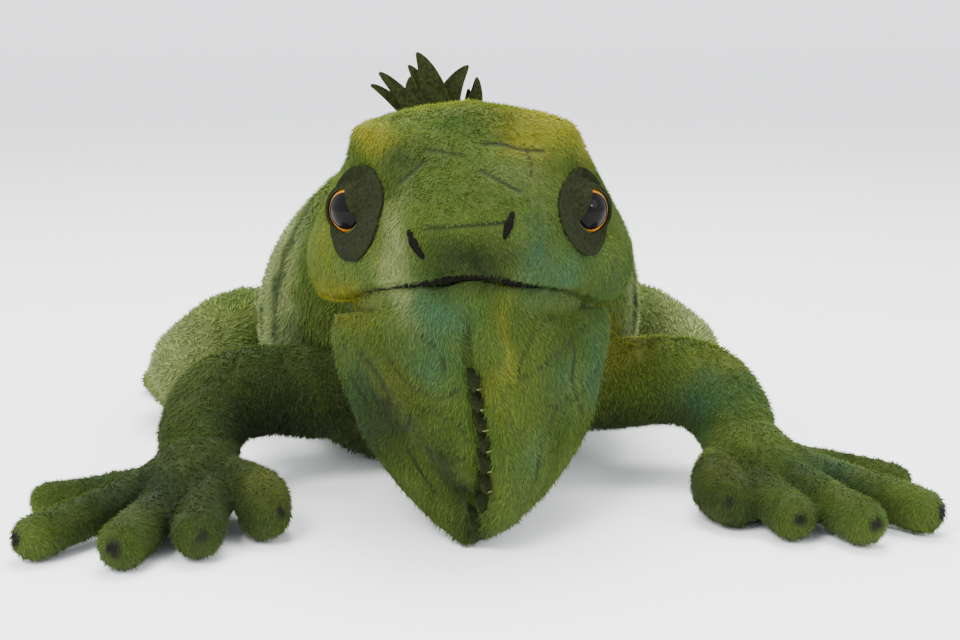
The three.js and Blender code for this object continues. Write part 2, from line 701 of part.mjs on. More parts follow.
function buildDewlap() {
  // The jaw as the swinging dewlap sees it.
  const jawSeen = dewlapSwing.map((angle) => {
    const fromHinge = jawShape(-gap, -gap).translate([0, 72, jawDepth]);
    return fromHinge.rotate([mouthSlope - angle, 0, 0]);
  });
  const jawRoom = wasm.Manifold.union(jawSeen);
  const options = { depth: dewlapThickness, bevelEnabled: false, curveSegments: 8 };
  for (const [side, name] of [[-1, "right"], [1, "left"]]) {
    const flat = new THREE.ExtrudeGeometry(dewlapHalf(), options);
    const upright = toSolid(flat.rotateX(Math.PI / 2));
    const turned = upright.rotate([0, 0, dewlapFold]).translate([spikeThickness / 2 + gap - 0.9, 0, 0]);
    const half = (side > 0 ? turned : turned.mirror([1, 0, 0])).subtract(jawRoom);
    piece(`${name}_dewlap_panel`, largest(half), greenPlush, dewlap);
  }
  // The spikes are sewn in the front seam, between the halves.
  const pitch = (dewlapDrop * 0.8) / dewlapSpikes;
  for (let i = 0; i < dewlapSpikes; i++) {
    const spike = feltSpike(pitch - 2 * gap, 17, 0, spikeThickness);
    spike.applyMatrix4(new THREE.Matrix4().makeBasis(V(0, 0, 1), V(0, -1, 0), V(1, 0, 0)));
    spike.translate(0, -gap, -dewlapDrop * 0.16 - i * pitch);
    piece(`dewlap_spike_${i + 1}`, spike, darkFelt, dewlap);
  }
}

// ---------- stuffed limbs ----------
// A stuffed piece turns on the round bulb of its root. shape(inset) is its outline, shrunk all round,
// trim keeps that clear of its neighbours, and away points out of the root, where the skin is open.
function stuffedPiece(name, parent, { shape, bulb, away, trim }) {
  const hole = new THREE.CylinderGeometry(7, 7, 60, 8).translate(0, 30, 0);
  const turn = new THREE.Quaternion().setFromUnitVectors(V(0, 1, 0), away.clone().normalize());
  hole.applyQuaternion(turn).translate(bulb.centre.x, bulb.centre.y, bulb.centre.z);
  const hollow = shape(plush).intersect(above(plush));
  const root = ball(bulb.centre, bulb.radius, { hinge: bulb.hinge });
  const skin = trim(shape(0)).add(root).intersect(above(0)).subtract(hollow).subtract(toSolid(hole));
  const core = trim(shape(plush + gap).intersect(above(plush + gap)));
  const origin = parent.getWorldPosition(V(0, 0, 0)).negate().toArray();
  piece(`${name}_skin`, largest(skin).translate(origin), greenPlush, parent);
  piece(`${name}_stuffing`, largest(core).translate(origin), paleStuffing, parent);
}

// Everything on the far side of a plane through a point, seen along a direction.
function beyond(point, direction) {
  const slab = new THREE.BoxGeometry(2 * far, 2 * far, far).translate(0, 0, far / 2);
  const turn = new THREE.Quaternion().setFromUnitVectors(V(0, 0, 1), direction.clone().normalize());
  return toSolid(slab.applyQuaternion(turn).translate(point.x, point.y, point.z));
}

const mirrored = (points, side) => points.map((p) => V(side * p.x, p.y, p.z));

// Named pivots are in the row's frame, on the +X side, and the -X side mirrors them.
const wrist = V(126, -98, 27);

// A group that stands at a joint. Its pieces are given in the row's frame.
function pivotGroup(name, parent, point) {
  const group = new THREE.Group();
  group.name = name;
  const origin = parent.getWorldPosition(V(0, 0, 0));
  group.position.copy(point).sub(origin);
  parent.add(group);
  return group;
}

// Fingers run from the palm to these tips. Each hand has its own spread.
const leftFingers = [
  [V(112, -126, 17), V(107, -152, 15), V(110, -164, 13), 12.5],
  [V(124, -130, 16), V(126, -160, 15), V(130, -188, 10), 9.5],
  [V(138, -132, 17), V(148, -166, 15), V(158, -197, 10), 10],
  [V(152, -126, 16), V(170, -155, 14), V(190, -184, 10), 10],
  [V(156, -112, 15), V(180, -122, 13), V(196, -132, 9), 9],
];
const rightFingers = [
  [V(-112, -126, 19), V(-100, -142, 18), V(-98, -158, 13), 11],
  [V(-122, -132, 18), V(-124, -158, 16), V(-126, -182, 11), 10.5],
  [V(-136, -132, 17), V(-147, -162, 14), V(-156, -191, 10), 10],
  [V(-150, -124, 16), V(-172, -148, 13), V(-194, -173, 9.5), 9.5],
  [V(-154, -110, 14), V(-176, -112, 12), V(-196, -114, 9), 8.5],
];

// The palm widens and flattens from the round wrist to the knuckles.
function palmShape(side, inset) {
  const along = V(side * 6, -40, -11).normalize();
  const across = V(0, 0, 1);
  const rows = [
    [0, wristRadius - 2, wristRadius - 2],
    [18, 26, 17],
    [32, 29, 15],
    [44, 20, 10],
  ];
  const sideways = along.clone().cross(across).normalize();
  const up = sideways.clone().cross(along).normalize();
  const place = (ahead) => V(side * wrist.x, wrist.y, wrist.z).addScaledVector(along, ahead);
  const stations = rows.map(([ahead, w, h]) => ({
    c: place(ahead),
    w: w - inset,
    h: h - inset,
    side: sideways,
    up,
  }));
  return toSolid(loft(stations, 10, place(-4), place(52 - inset)));
}

function handShape(side, fingers, inset) {
  let hand = palmShape(side, inset);
  for (const [root, knuckle, tip, radius] of fingers) {
    const radii = [fingerRadius - 1, radius, radius - 1];
    const detail = { sides: inset ? 5 : 7, steps: inset ? 1 : 2, inset };
    hand = hand.add(softTube([root, knuckle, tip], radii, detail));
  }
  return hand;
}

const bulbStep = 2; // a limb's tube is this much thinner than the bulb of its root

function buildForeleg(side, name, fingers) {
  const shoulder = V(side * shoulderX, shoulderY, shoulderZ);
  const route = [shoulder, ...mirrored([V(98, -67, 48), V(119, -75, 45), V(128, -92, 34)], side)];
  const radii = [jointBall.shoulder - bulbStep, forelegRadius - 1, forelegRadius, wristRadius + 1];
  const wristPoint = V(side * wrist.x, wrist.y, wrist.z);
  const toHand = V(side * 0.15, -0.9, -0.42).normalize();
  const end = beyond(wristPoint.clone().addScaledVector(toHand, -9), toHand);
  const wristRoom = roomForBall(wristPoint, wristRadius, { hinge: "x" });
  const room = sweptBody(shoulder, shoulderSwing);

  const arm = pivotGroup(`${name}_shoulder`, puppet, shoulder);
  stuffedPiece(`${name}_foreleg`, arm, {
    shape: (inset) => softTube(route, radii, { inset, steps: 4, sides: 9 }),
    bulb: { centre: shoulder, radius: jointBall.shoulder },
    away: V(-side, 0.1, 0.2),
    trim: (solid) => solid.subtract(end).subtract(wristRoom).subtract(room),
  });

  const hand = pivotGroup(`${name}_wrist`, arm, wristPoint);
  stuffedPiece(`${name}_hand`, hand, {
    shape: (inset) => handShape(side, fingers, inset),
    bulb: { centre: wristPoint, radius: wristRadius, hinge: "x" },
    away: toHand.clone().negate(),
    trim: (solid) => solid,
  });
}

const toes = [
  [V(134, 134, 10), V(126, 150, 9), V(118, 164, 7)],
  [V(142, 138, 10), V(138, 158, 9), V(133, 177, 7)],
  [V(149, 138, 10), V(149, 160, 9), V(148, 181, 7)],
  [V(155, 135, 10), V(159, 155, 9), V(162, 173, 7)],
  [V(158, 128, 10), V(166, 142, 8), V(171, 156, 7)],
];

function footShape(side, inset) {
  const sole = new THREE.SphereGeometry(1, 10, 6).scale(19 - inset, 19 - inset, 11.5 - inset);
  let foot = toSolid(sole.translate(side * 147, 128, 11.5));
  if (inset) return foot; // the toes are too thin to hold stuffing
  for (const points of toes) {
    const radii = [toeRadius, toeRadius, toeRadius - 0.5];
    foot = foot.add(softTube(mirrored(points, side), radii, { sides: 6, steps: 1 }));
  }
  return foot;
}

// The hind leg folds forward at the knee and back to the foot, which rests on the ground.
function hindlegShape(side, hip, inset) {
  const thigh = [hip, ...mirrored([V(114, 72, 48), V(137, 61, 35)], side)];
  const shin = mirrored([V(139, 64, 29), V(148, 84, 23), V(145, 110, 17)], side);
  const thighRadii = [jointBall.hip - bulbStep, thighRadius - 1, thighRadius - 2];
  const upper = softTube(thigh, thighRadii, { inset, steps: 3, sides: 9 });
  const shinRadii = [thighRadius - 5, ankleRadius + 4, ankleRadius];
  const lower = softTube(shin, shinRadii, { inset, steps: 2, sides: 8 });
  return upper.add(lower).add(footShape(side, inset));
}

function buildHindleg(side, name) {
  const hip = V(side * hipX, hipY, hipZ);
  const room = sweptBody(hip, hipSwing);
  stuffedPiece(`${name}_hindleg`, pivotGroup(`${name}_hip`, puppet, hip), {
    shape: (inset) => hindlegShape(side, hip, inset),
    bulb: { centre: hip, radius: jointBall.hip },
    away: V(-side, 0.2, 0.1),
    trim: (solid) => solid.subtract(room),
  });
}

// ---------- tail ----------
// The route is worked out from the tail's length: it swings gently to the puppet's left.
const tailAt = (share) => {
  const radius = THREE.MathUtils.lerp(tailRadius, 5, share ** 0.8);
  const sway = 120 * share ** 2.2;
  const z = THREE.MathUtils.lerp(tailRoot.z, radius, THREE.MathUtils.smoothstep(share, 0, 0.35));
  return { point: V(sway, tailRoot.y + tailLength * 0.93 * share, Math.max(z, radius)), radius };
};
const tailJointShare = 0.42;

function tailTube(from, to, count, detail) {
  const marks = Array.from({ length: count + 1 }, (_, i) => tailAt(from + ((to - from) * i) / count));
  const radii = marks.map((mark, i) => (i === 0 ? mark.radius - bulbStep : mark.radius));
  return (inset) => softTube(marks.map((mark) => mark.point), radii, { ...detail, inset });
}

function buildTail() {
  const joint = tailAt(tailJointShare);
  const onward = tailAt(tailJointShare + 0.02).point.sub(joint.point).normalize();
  const end = beyond(joint.point.clone().addScaledVector(onward, -7), onward);
  const jointRoom = roomForBall(joint.point, joint.radius);
  const room = sweptBody(tailRoot, tailSwing);

  const base = pivotGroup("tail_root", puppet, tailRoot);
  stuffedPiece("tail_base", base, {
    shape: tailTube(0, tailJointShare + 0.05, 4, { steps: 3, sides: 9 }),
    bulb: { centre: tailRoot, radius: jointBall.tail },
    away: V(0, -1, 0),
    trim: (solid) => solid.subtract(end).subtract(jointRoom).subtract(room),
  });

  stuffedPiece("tail_tip", pivotGroup("tail_middle", base, joint.point), {
    shape: tailTube(tailJointShare, 1, 5, { steps: 5, sides: 8 }),
    bulb: { centre: joint.point, radius: joint.radius },
    away: onward.clone().negate(),
    trim: (solid) => solid,
  });
}

buildBody();
buildCrest();
buildNeck();
buildHead();
buildJaw();
buildDewlap();
buildForeleg(1, "left", leftFingers);
buildForeleg(-1, "right", rightFingers);
buildHindleg(1, "left");
buildHindleg(-1, "right");
buildTail();

export default puppet;
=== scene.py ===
# %% [markdown]
# # A plush lizard hand puppet
# The puppet lies on its belly and faces us. Its moving bodies, seams and sizes come from a packed
# model, the frame. Every length here is written in millimetres and turned into metres by `MM`.

# %% load the frame
import math

import bpy
import numpy as np
from mathutils.bvhtree import BVHTree
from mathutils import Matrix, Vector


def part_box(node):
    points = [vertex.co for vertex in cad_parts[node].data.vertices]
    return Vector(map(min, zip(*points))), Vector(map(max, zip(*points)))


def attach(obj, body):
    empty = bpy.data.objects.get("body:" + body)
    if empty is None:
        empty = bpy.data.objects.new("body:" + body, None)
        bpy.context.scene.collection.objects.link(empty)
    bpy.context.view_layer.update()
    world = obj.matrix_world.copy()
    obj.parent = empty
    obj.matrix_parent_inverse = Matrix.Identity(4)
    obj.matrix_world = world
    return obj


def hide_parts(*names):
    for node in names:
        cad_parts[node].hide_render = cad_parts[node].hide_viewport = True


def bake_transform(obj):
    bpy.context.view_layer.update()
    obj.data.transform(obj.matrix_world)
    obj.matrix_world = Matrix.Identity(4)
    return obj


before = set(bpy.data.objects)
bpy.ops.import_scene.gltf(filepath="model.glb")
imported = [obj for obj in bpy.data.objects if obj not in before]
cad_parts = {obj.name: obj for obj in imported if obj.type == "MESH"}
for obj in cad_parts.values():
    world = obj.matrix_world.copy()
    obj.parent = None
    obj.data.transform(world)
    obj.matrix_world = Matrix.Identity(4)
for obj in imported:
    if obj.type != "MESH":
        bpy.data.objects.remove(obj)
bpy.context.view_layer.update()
MM = 0.001


# %% [markdown]
# ## Working with whole arrays
# A shape is a table of a few measured rows. A smooth curve through the rows fills in the rest, so
# each surface is a function of two parameters, and numpy works it out for all its points at once.

# %% curves through measured rows
def through_rows(rows, count):
    """Catmull-Rom: between rows b and c, with a before and d after, and f from 0 to 1,
    p = b + f/2 * (c - a + f * (2a - 5b + 4c - d + f * (3(b - c) + d - a)))."""
    rows = np.asarray(rows, float)
    at = np.linspace(0, len(rows) - 1, count)
    i = np.clip(at.astype(int), 0, len(rows) - 2)
    f = (at - i).reshape(-1, *([1] * (rows.ndim - 1)))
    b, c = rows[i], rows[i + 1]
    a = np.where((i > 0).reshape(f.shape), rows[np.maximum(i - 1, 0)], 2 * b - c)
    last = len(rows) - 1
    d = np.where((i + 2 <= last).reshape(f.shape), rows[np.minimum(i + 2, last)], 2 * c - b)
    return b + f / 2 * (c - a + f * (2 * a - 5 * b + 4 * c - d + f * (3 * (b - c) + d - a)))


def unit(vectors):
    return vectors / np.maximum(np.linalg.norm(vectors, axis=-1, keepdims=True), 1e-9)


def smooth_step(x, low, high):
    """0 below low, 1 above high, and 3t^2 - 2t^3 between."""
    t = np.clip((x - low) / (high - low), 0, 1)
    return t * t * (3 - 2 * t)


# %% grids of points into meshes
def in_scene(name, data):
    """An object that holds the data, linked into the scene."""
    thing = bpy.data.objects.new(name, data)
    bpy.context.scene.collection.objects.link(thing)
    return thing


def new_piece(name, points, faces, material=None):
    """A mesh object from points in millimetres, at the origin, smooth shaded."""
    mesh = bpy.data.meshes.new(name)
    mesh.from_pydata((np.asarray(points) * MM).tolist(), [], faces)
    mesh.update()
    mesh.polygons.foreach_set("use_smooth", np.ones(len(mesh.polygons), bool))
    piece = in_scene(name, mesh)
    if material:
        mesh.materials.append(material)
    return piece


def outward(points, faces):
    """Flips the faces of a closed shape if its volume comes out negative."""
    p = np.asarray(points)
    volume = 0.0
    for size in (3, 4):
        some = np.array([f for f in faces if len(f) == size])
        if len(some):
            for k in range(1, size - 1):
                a, b, c = p[some[:, 0]], p[some[:, k]], p[some[:, k + 1]]
                volume += np.einsum("ij,ij->", a, np.cross(b, c))
    return faces if volume > 0 else [f[::-1] for f in faces]


def closed_piece(name, shape, material=None):
    """A piece from a closed shape's points and faces, with the faces turned outwards."""
    points, faces = shape
    return new_piece(name, points, outward(points, faces), material)


def tube_faces(rows, around):
    """Quads between rings of points, then triangles to one pole before and one after them."""
    i, j = np.meshgrid(np.arange(rows - 1), np.arange(around), indexing="ij")
    k = (j + 1) % around
    quads = np.stack([i * around + j, i * around + k,
                      (i + 1) * around + k, (i + 1) * around + j], -1)
    j = np.arange(around)
    k = (j + 1) % around
    first, last = rows * around, rows * around + 1
    low = np.stack([k, j, np.full(around, first)], -1)
    high = np.stack([(rows - 1) * around + j, (rows - 1) * around + k, np.full(around, last)], -1)
    return quads.reshape(-1, 4).tolist() + low.tolist() + high.tolist()


def closed_tube(rings):
    """Points and faces of a grid of rings (rows, around, 3) whose ends close at their middles."""
    rings = np.asarray(rings, float)
    points = np.concatenate([rings.reshape(-1, 3), rings[0].mean(0)[None], rings[-1].mean(0)[None]])
    return points, tube_faces(*rings.shape[:2])


def section(count, power=2.0):
    """A ring of a superellipse |x|^p + |z|^p = 1, as x and z."""
    angle = np.arange(count) / count * 2 * np.pi
    c, s = np.cos(angle), np.sin(angle)
    reach = (np.abs(c) ** power + np.abs(s) ** power) ** (-1 / power)
    return c * reach, s * reach


CAP_RINGS = 5  # rings in each rounded end of a limb


def limb(points, radii, count=40, around=24, flat=1.0):
    """A stuffed tube: a circle of the given radius carried along a smooth path, its ends rounded by
    half spheres. flat squashes it in height."""
    path = through_rows(points, count)
    radius = through_rows(np.asarray(radii, float)[:, None], count)
    cap = np.radians(np.linspace(80, 0, CAP_RINGS + 1)[:-1])
    along = unit(np.gradient(path, axis=0))
    start = path[0] - along[0] * radius[0] * np.sin(cap)[:, None]
    end = path[-1] + along[-1] * radius[-1] * np.sin(cap[::-1])[:, None]
    path = np.concatenate([start, path, end])
    radius = np.concatenate([radius[0] * np.cos(cap)[:, None], radius,
                             radius[-1] * np.cos(cap[::-1])[:, None]])
    along = np.concatenate([np.repeat(along[:1], CAP_RINGS, 0), along,
                            np.repeat(along[-1:], CAP_RINGS, 0)])
    side = unit(np.cross(along, [0, 0, 1.0]))
    up = np.cross(side, along)
    x, z = section(around)
    ring = side[:, None] * x[:, None] + up[:, None] * z[:, None] * flat
    return closed_tube(path[:, None] + ring * radius[:, None])


def egg(centre, radii, rows=14, around=24):
    """A ball stretched to three radii about its centre."""
    lift = np.linspace(-80, 80, rows) * np.pi / 180
    x, y = section(around)
    ring = np.stack([x[None] * np.cos(lift)[:, None], y[None] * np.cos(lift)[:, None],
                     np.repeat(np.sin(lift)[:, None], around, 1)], -1)
    return closed_tube(ring * radii + centre)


def together(*shapes):
    """Several shapes' points and faces as one."""
    points, faces, so_far = [], [], 0
    for p, f in shapes:
        points.append(p)
        faces += [[v + so_far for v in face] for face in f]
        so_far += len(p)
    return np.concatenate(points), faces


# %% finishing meshes with modifiers
def positions(piece):
    co = np.empty(len(piece.data.vertices) * 3, np.float32)
    piece.data.vertices.foreach_get("co", co)
    return co.reshape(-1, 3).astype(float) / MM


def set_positions(piece, points):
    piece.data.vertices.foreach_set("co", (points * MM).astype(np.float32).ravel())
    piece.data.update()


def normals(piece):
    found = np.empty(len(piece.data.vertices) * 3, np.float32)
    piece.data.vertex_normals.foreach_get("vector", found)
    return found.reshape(-1, 3).astype(float)


def apply_all(piece):
    """Replaces the mesh by what its modifiers make of it."""
    graph = bpy.context.evaluated_depsgraph_get()
    made = bpy.data.meshes.new_from_object(piece.evaluated_get(graph))
    piece.modifiers.clear()
    old = piece.data
    piece.data = made
    made.name = piece.name
    bpy.data.meshes.remove(old)
    made.polygons.foreach_set("use_smooth", np.ones(len(made.polygons), bool))
    return piece


def remeshed(piece, voxel, relax=6):
    """One closed skin round all the shapes in the piece, with its creases relaxed."""
    mod = piece.modifiers.new("one skin", "REMESH")
    mod.mode, mod.voxel_size, mod.use_smooth_shade = "VOXEL", voxel * MM, True
    soft = piece.modifiers.new("relax", "SMOOTH")
    soft.factor, soft.iterations = 0.5, relax
    return apply_all(piece)


# %% [markdown]
# ## Stuffing by simulation
# Real stuffing pushes the skin out until the cloth holds it. Blender's Cloth does the same with
# pressure. The skin starts as an even mesh, swells for some frames, and no point may move further
# than a cap, so the piece keeps the size of its pattern. The body and the hind legs are made so.

# %% stuffing
def stuffed(piece, pressure=4.0, cap=5.0, frames=14):
    """Swells the skin by cloth pressure, then moves each point there, but at most cap
    millimetres."""
    before = positions(piece)
    mod = piece.modifiers.new("stuffing", "CLOTH")
    cloth = mod.settings
    cloth.quality, cloth.mass = 4, 0.2
    cloth.use_pressure, cloth.uniform_pressure_force = True, pressure
    cloth.effector_weights.gravity = 0.0
    cloth.tension_stiffness = cloth.compression_stiffness = 12
    cloth.bending_stiffness = 0.6
    mod.collision_settings.use_collision = False
    mod.point_cache.frame_start, mod.point_cache.frame_end = 1, frames
    scene = bpy.context.scene
    for moment in range(1, frames + 1):
        scene.frame_set(moment)
    apply_all(piece)
    moved = positions(piece) - before
    far = np.linalg.norm(moved, axis=1, keepdims=True)
    set_positions(piece, before + moved * np.minimum(1, cap / np.maximum(far, 1e-6)))
    scene.frame_set(1)
    return piece


# %% [markdown]
# ## Camera, floor and light
# The camera looks from low in front, a little to the puppet's right. The floor is plain and pale,
# and three wide lamps give the even light of a product table.

# %% stage
def placed_camera(azimuth, elevation, distance, target):
    """A camera at distance from target, azimuth degrees from straight ahead and elevation up."""
    a, e = math.radians(azimuth), math.radians(elevation)
    away = np.array([math.sin(a) * math.cos(e), -math.cos(a) * math.cos(e), math.sin(e)])
    lens = bpy.data.cameras.new("camera")
    lens.lens, lens.sensor_width = 60.0, 36.0
    camera = in_scene("camera", lens)
    camera.location = (np.array(target) + away * distance) * MM
    camera.rotation_euler = (math.pi / 2 - e, 0, a)
    bpy.context.scene.camera = camera


def lamp(name, place, target, size, power):
    light = bpy.data.lights.new(name, "AREA")
    light.shape, light.size, light.energy = "DISK", size, power
    holder = in_scene(name, light)
    holder.location = place
    look = np.array(target) - np.array(place)
    flat = math.hypot(look[0], look[1])
    turn = math.atan2(look[1], look[0]) - math.pi / 2
    holder.rotation_euler = (math.atan2(flat, -look[2]), 0, turn)


def set_sockets(node, **values):
    """Sets values on a node's inputs. An underscore in a name stands for a space."""
    for name, value in values.items():
        node.inputs[name.replace("_", " ")].default_value = value


def new_material(name):
    """A material, its tree of nodes and its shader."""
    material = bpy.data.materials.new(name)
    material.use_nodes = True
    return material, material.node_tree, material.node_tree.nodes["Principled BSDF"]


def plain(name, colour, roughness):
    material, tree, shader = new_material(name)
    set_sockets(shader, Base_Color=(*colour, 1), Roughness=roughness)
    return material


placed_camera(-7, 10, 700, (-3, -150, 95))
lamp("key", (-0.9, -1.3, 1.5), (0, -0.1, 0.05), 0.9, 62)
lamp("fill", (1.4, -1.2, 0.9), (0, -0.1, 0.08), 1.1, 14)
lamp("top", (0.1, 0.3, 1.7), (0, 0, 0), 1.0, 42)
reach = 20000.0
corners = [(x * reach, y * reach, 0) for x, y in ((-1, -1), (1, -1), (1, 1), (-1, 1))]
floor = new_piece("floor", corners, [(0, 1, 2, 3)], plain("floor paint", (0.93, 0.93, 0.93), 0.7))
for side in (-1, 1):  # small lamps whose reflections make a spark in each eye
    lamp("spark lamp", (side * 0.95, -1.25, 0.62), (0, -0.15, 0.14), 0.10, 5.0)
world = bpy.data.worlds.new("studio")
world.use_nodes = True
set_sockets(world.node_tree.nodes["Background"], Color=(0.93, 0.95, 1.0, 1), Strength=2.2)
bpy.context.scene.world = world


# %% [markdown]
# ## The head
# The upper half of the head is one plush skin with a flat crown, a ridge over each eye, full cheeks
# and a blunt snout. It could be carved from a ball, but a table of cross-sections is easier to
# read and to change: each row goes down one side from the crown to the mouth line.

# %% head sections, in the head's own place: x to its left, d ahead of the neck, z up
NECK = np.array([0.0, -85.0, 112.0])
TURN = math.radians(-7)
HEAD_ROWS = [
    (-4, [(0, 60), (22, 59), (40, 52), (51, 38), (58, 18), (59, -2), (56, -13), (48, -19), (24, -20),
          (0, -20)]),
    (10, [(0, 71), (22, 69), (38, 63), (50, 50), (62, 30), (67, 8), (65, -8), (57, -17), (28, -18),
          (0, -18)]),
    (26, [(0, 76), (22, 73), (39, 68), (50, 55), (62, 36), (71, 13), (69, -5), (61, -14), (28, -13),
          (0, -13)]),
    (42, [(0, 76), (22, 73), (42, 68), (51, 57), (59, 38), (70, 13), (69, -4), (60, -11), (26, -9),
          (0, -9)]),
    (54, [(0, 74), (21, 71), (41, 66), (48, 55), (55, 37), (65, 13), (64, -3), (55, -9), (26, -6),
          (0, -6)]),
    (64, [(0, 68), (17, 66), (33, 60), (42, 49), (49, 33), (57, 13), (56, -1), (49, -5), (24, -3),
          (0, -3)]),
    (75, [(0, 59), (15, 58), (28, 53), (36, 43), (43, 29), (49, 13), (47, 2), (41, -1), (20, -1),
          (0, -1)]),
    (87, [(0, 49), (14, 49), (25, 45), (31, 36), (36, 25), (40, 13), (38, 5), (33, 2), (16, 2), (0, 2)]),
    (98, [(0, 41), (13, 41), (24, 37), (28, 29), (30, 20), (31, 13), (29, 8), (24, 5), (11, 4), (0, 5)]),
    (107, [(0, 32), (11, 32), (19, 28), (23, 21), (23, 15), (22, 11), (20, 9), (15, 8), (8, 8), (0, 8)]),
    (112, [(0, 24), (6, 23), (11, 20), (13, 17), (13, 15), (12, 13), (10, 12), (7, 11), (4, 11),
           (0, 11)]),
]


def head_to_world(local):
    """Turns by the head's angle about Z and moves to the neck."""
    c, s = math.cos(TURN), math.sin(TURN)
    x, y, z = local[..., 0], local[..., 1], local[..., 2]
    return np.stack([x * c - y * s, x * s + y * c, z], -1) + NECK


def head_rings(rows, across, ahead):
    """Each row's half-section is mirrored to a ring, and both ways are filled by through_rows."""
    rings = []
    for d, half in rows:
        fine = through_rows(half, across // 2 + 1)
        ring = np.concatenate([fine, fine[-2:0:-1] * [-1, 1]])
        rings.append(np.column_stack([ring[:, 0], np.full(len(ring), -d), ring[:, 1]]))
    return through_rows(np.array(rings), ahead)


# brow puffs, cheeks, and folds beside the brows: centre, reach, and how far out they push
FORMS = [((-50, -50, 63), 9, 4.5), ((42, -50, 62), 9, 2.0), ((-40, -54, 60), 5, -2.5),
         ((-45, -60, 50), 6, -2.0),
         ((66, -40, 10), 18, 2.5), ((-64, -40, 8), 18, 1.0), ((-30, -80, 40), 9, -2.2),
         ((30, -80, 40), 9, -2.2),
         ((-10, -96, 36), 6, -1.4), ((10, -96, 37), 6, -1.4), ((0, -76, 56), 12, 1.6),
         ((22, -66, 62), 5, -1.2)]


def pushed(points, forms):
    """Each form moves nearby points away from the head's middle by depth * exp(-(r / reach)^2)."""
    out = unit(points - np.array([0, -45, 20]))
    for centre, wide, depth in forms:
        r = np.linalg.norm(points - np.array(centre), axis=1, keepdims=True)
        points = points + out * depth * np.exp(-(r / wide) ** 2)
    return points


points, faces = closed_tube(head_rings(HEAD_ROWS, 150, 110))
head = closed_piece("head_cover", (head_to_world(pushed(points, FORMS)), faces))
print("head_cover", len(head.data.vertices))


# %% eyes' places, from the frame's own eyes
def eye_seat(side):
    """The rim's middle and the outward axis of one eye: the axis is the direction in which the
    points' spread differs from the other two, and the rim is where the points lie widest."""
    co = np.array([v.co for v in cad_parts[f"{side}_eye"].data.vertices]) / MM
    co = np.unique(co.round(4), axis=0)
    spread, axes = np.linalg.eigh(np.cov((co - co.mean(0)).T))
    gaps = [abs(spread[1] - spread[0]), abs(spread[2] - spread[1])]
    axis = axes[:, 0] if gaps[0] > gaps[1] else axes[:, 2]
    low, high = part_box("head_stuffing")
    middle = (np.array(low) + np.array(high)) / 2 / MM
    axis = axis * np.sign(axis @ (co.mean(0) - middle))
    along = co @ axis
    from_axis = np.linalg.norm((co - co.mean(0)) - np.outer(along - along.mean(), axis), axis=1)
    rim = co[from_axis > from_axis.max() - 0.3]
    rim = rim[rim @ axis < (rim @ axis).min() + 0.5]
    return rim.mean(0), axis


EYES = {}
for side in ("right", "left"):  # the domes look a little more forward than their shanks
    centre, axis = eye_seat(side)
    ahead = np.array([math.sin(TURN), -math.cos(TURN), 0])
    EYES[side] = (centre + ahead * 1.5, unit(axis + 0.6 * ahead))
for side, (centre, axis) in EYES.items():
    print(side, "eye at", centre.round(1), "facing", axis.round(2))


# %% [markdown]
# ## Body, neck, jaw and limbs
# The body is a long stuffed sack, flat underneath. Each limb is a bent tube of cloth, and a hand is
# a palm with five such tubes. Sculpting them by hand would hide their sizes, so they are tubes and
# eggs along measured paths, which a voxel remesh turns into one skin per limb.

# %% body and neck
BODY_ROWS = [  # y, half-width, bottom, top
    (-66, 66, 30, 166), (-58, 78, 12, 173), (-30, 93, -7, 166), (0, 100, -9, 152), (40, 100, -9, 131),
    (80, 92, -9, 107), (120, 73, -6, 84), (150, 47, 0, 66), (165, 31, 7, 52),
]


def body_rings(rows, around=72, along=70, power=2.2):
    """Superellipses |x/w|^p + |z/h|^p = 1 between each row's bottom and top, filled by
    through_rows, and kept above the floor."""
    y, w, low, high = through_rows(rows, along).T
    x, z = section(around, power)
    ring = np.stack([np.outer(w, x), np.repeat(y[:, None], around, 1),
                     np.outer((high - low) / 2, z) + ((high + low) / 2)[:, None]], -1)
    ring[..., 2] = np.maximum(ring[..., 2], 1.2)
    return ring


body = remeshed(closed_piece("body_cover", closed_tube(body_rings(BODY_ROWS))), 5.0)
stuffed(body, pressure=3.0, cap=3.5)
neck = closed_piece("neck_cover", egg(NECK, (61.5, 61.5, 61.5), rows=24, around=56))
place = positions(neck)
place[:, 1] = np.clip(place[:, 1], -122, -34)
set_positions(neck, place)
print("body_cover", len(body.data.vertices), "neck_cover", len(neck.data.vertices))


# %% jaw
MOUTH_SLOPE = math.radians(-12.5)
HINGE = np.array([0.0, -21.0, -13.0])
JAW_ROWS = [  # ahead of the hinge, half-width, depth
    (-4, 40, 19), (8, 48, 22), (30, 51, 22), (52, 43, 21), (70, 31, 18), (80, 20, 13), (85, 9, 7),
]


def mouth_to_world(local):
    """From the mouth's frame, whose X axis is the hinge and whose XY plane is the mouth line."""
    c, s = math.cos(MOUTH_SLOPE), math.sin(MOUTH_SLOPE)
    x, y, z = local[..., 0], local[..., 1], local[..., 2]
    return head_to_world(np.stack([x, y * c - z * s, y * s + z * c], -1) + HINGE)


def jaw_rings(rows, around=56, along=30):
    """Lower halves of superellipses |x/w|^2.4 + |z/h|^2.4 = 1, each closed by its flat top."""
    d, w, h = through_rows(rows, along).T
    x, z = section(around, 2.4)
    ring = np.stack([np.outer(w, x), -np.repeat(d[:, None], around, 1),
                     np.outer(h, np.minimum(z, 0.02))], -1)
    ring[..., 2] -= 1.0
    return ring


points, faces = closed_tube(jaw_rings(JAW_ROWS))
jaw = remeshed(closed_piece("jaw_cover", (mouth_to_world(points), faces)), 2.5, relax=3)
print("jaw_cover", len(jaw.data.vertices))


# %% the forelegs and the hands
def mirrored(points, side):
    return [(side * x, y, z) for x, y, z in points]


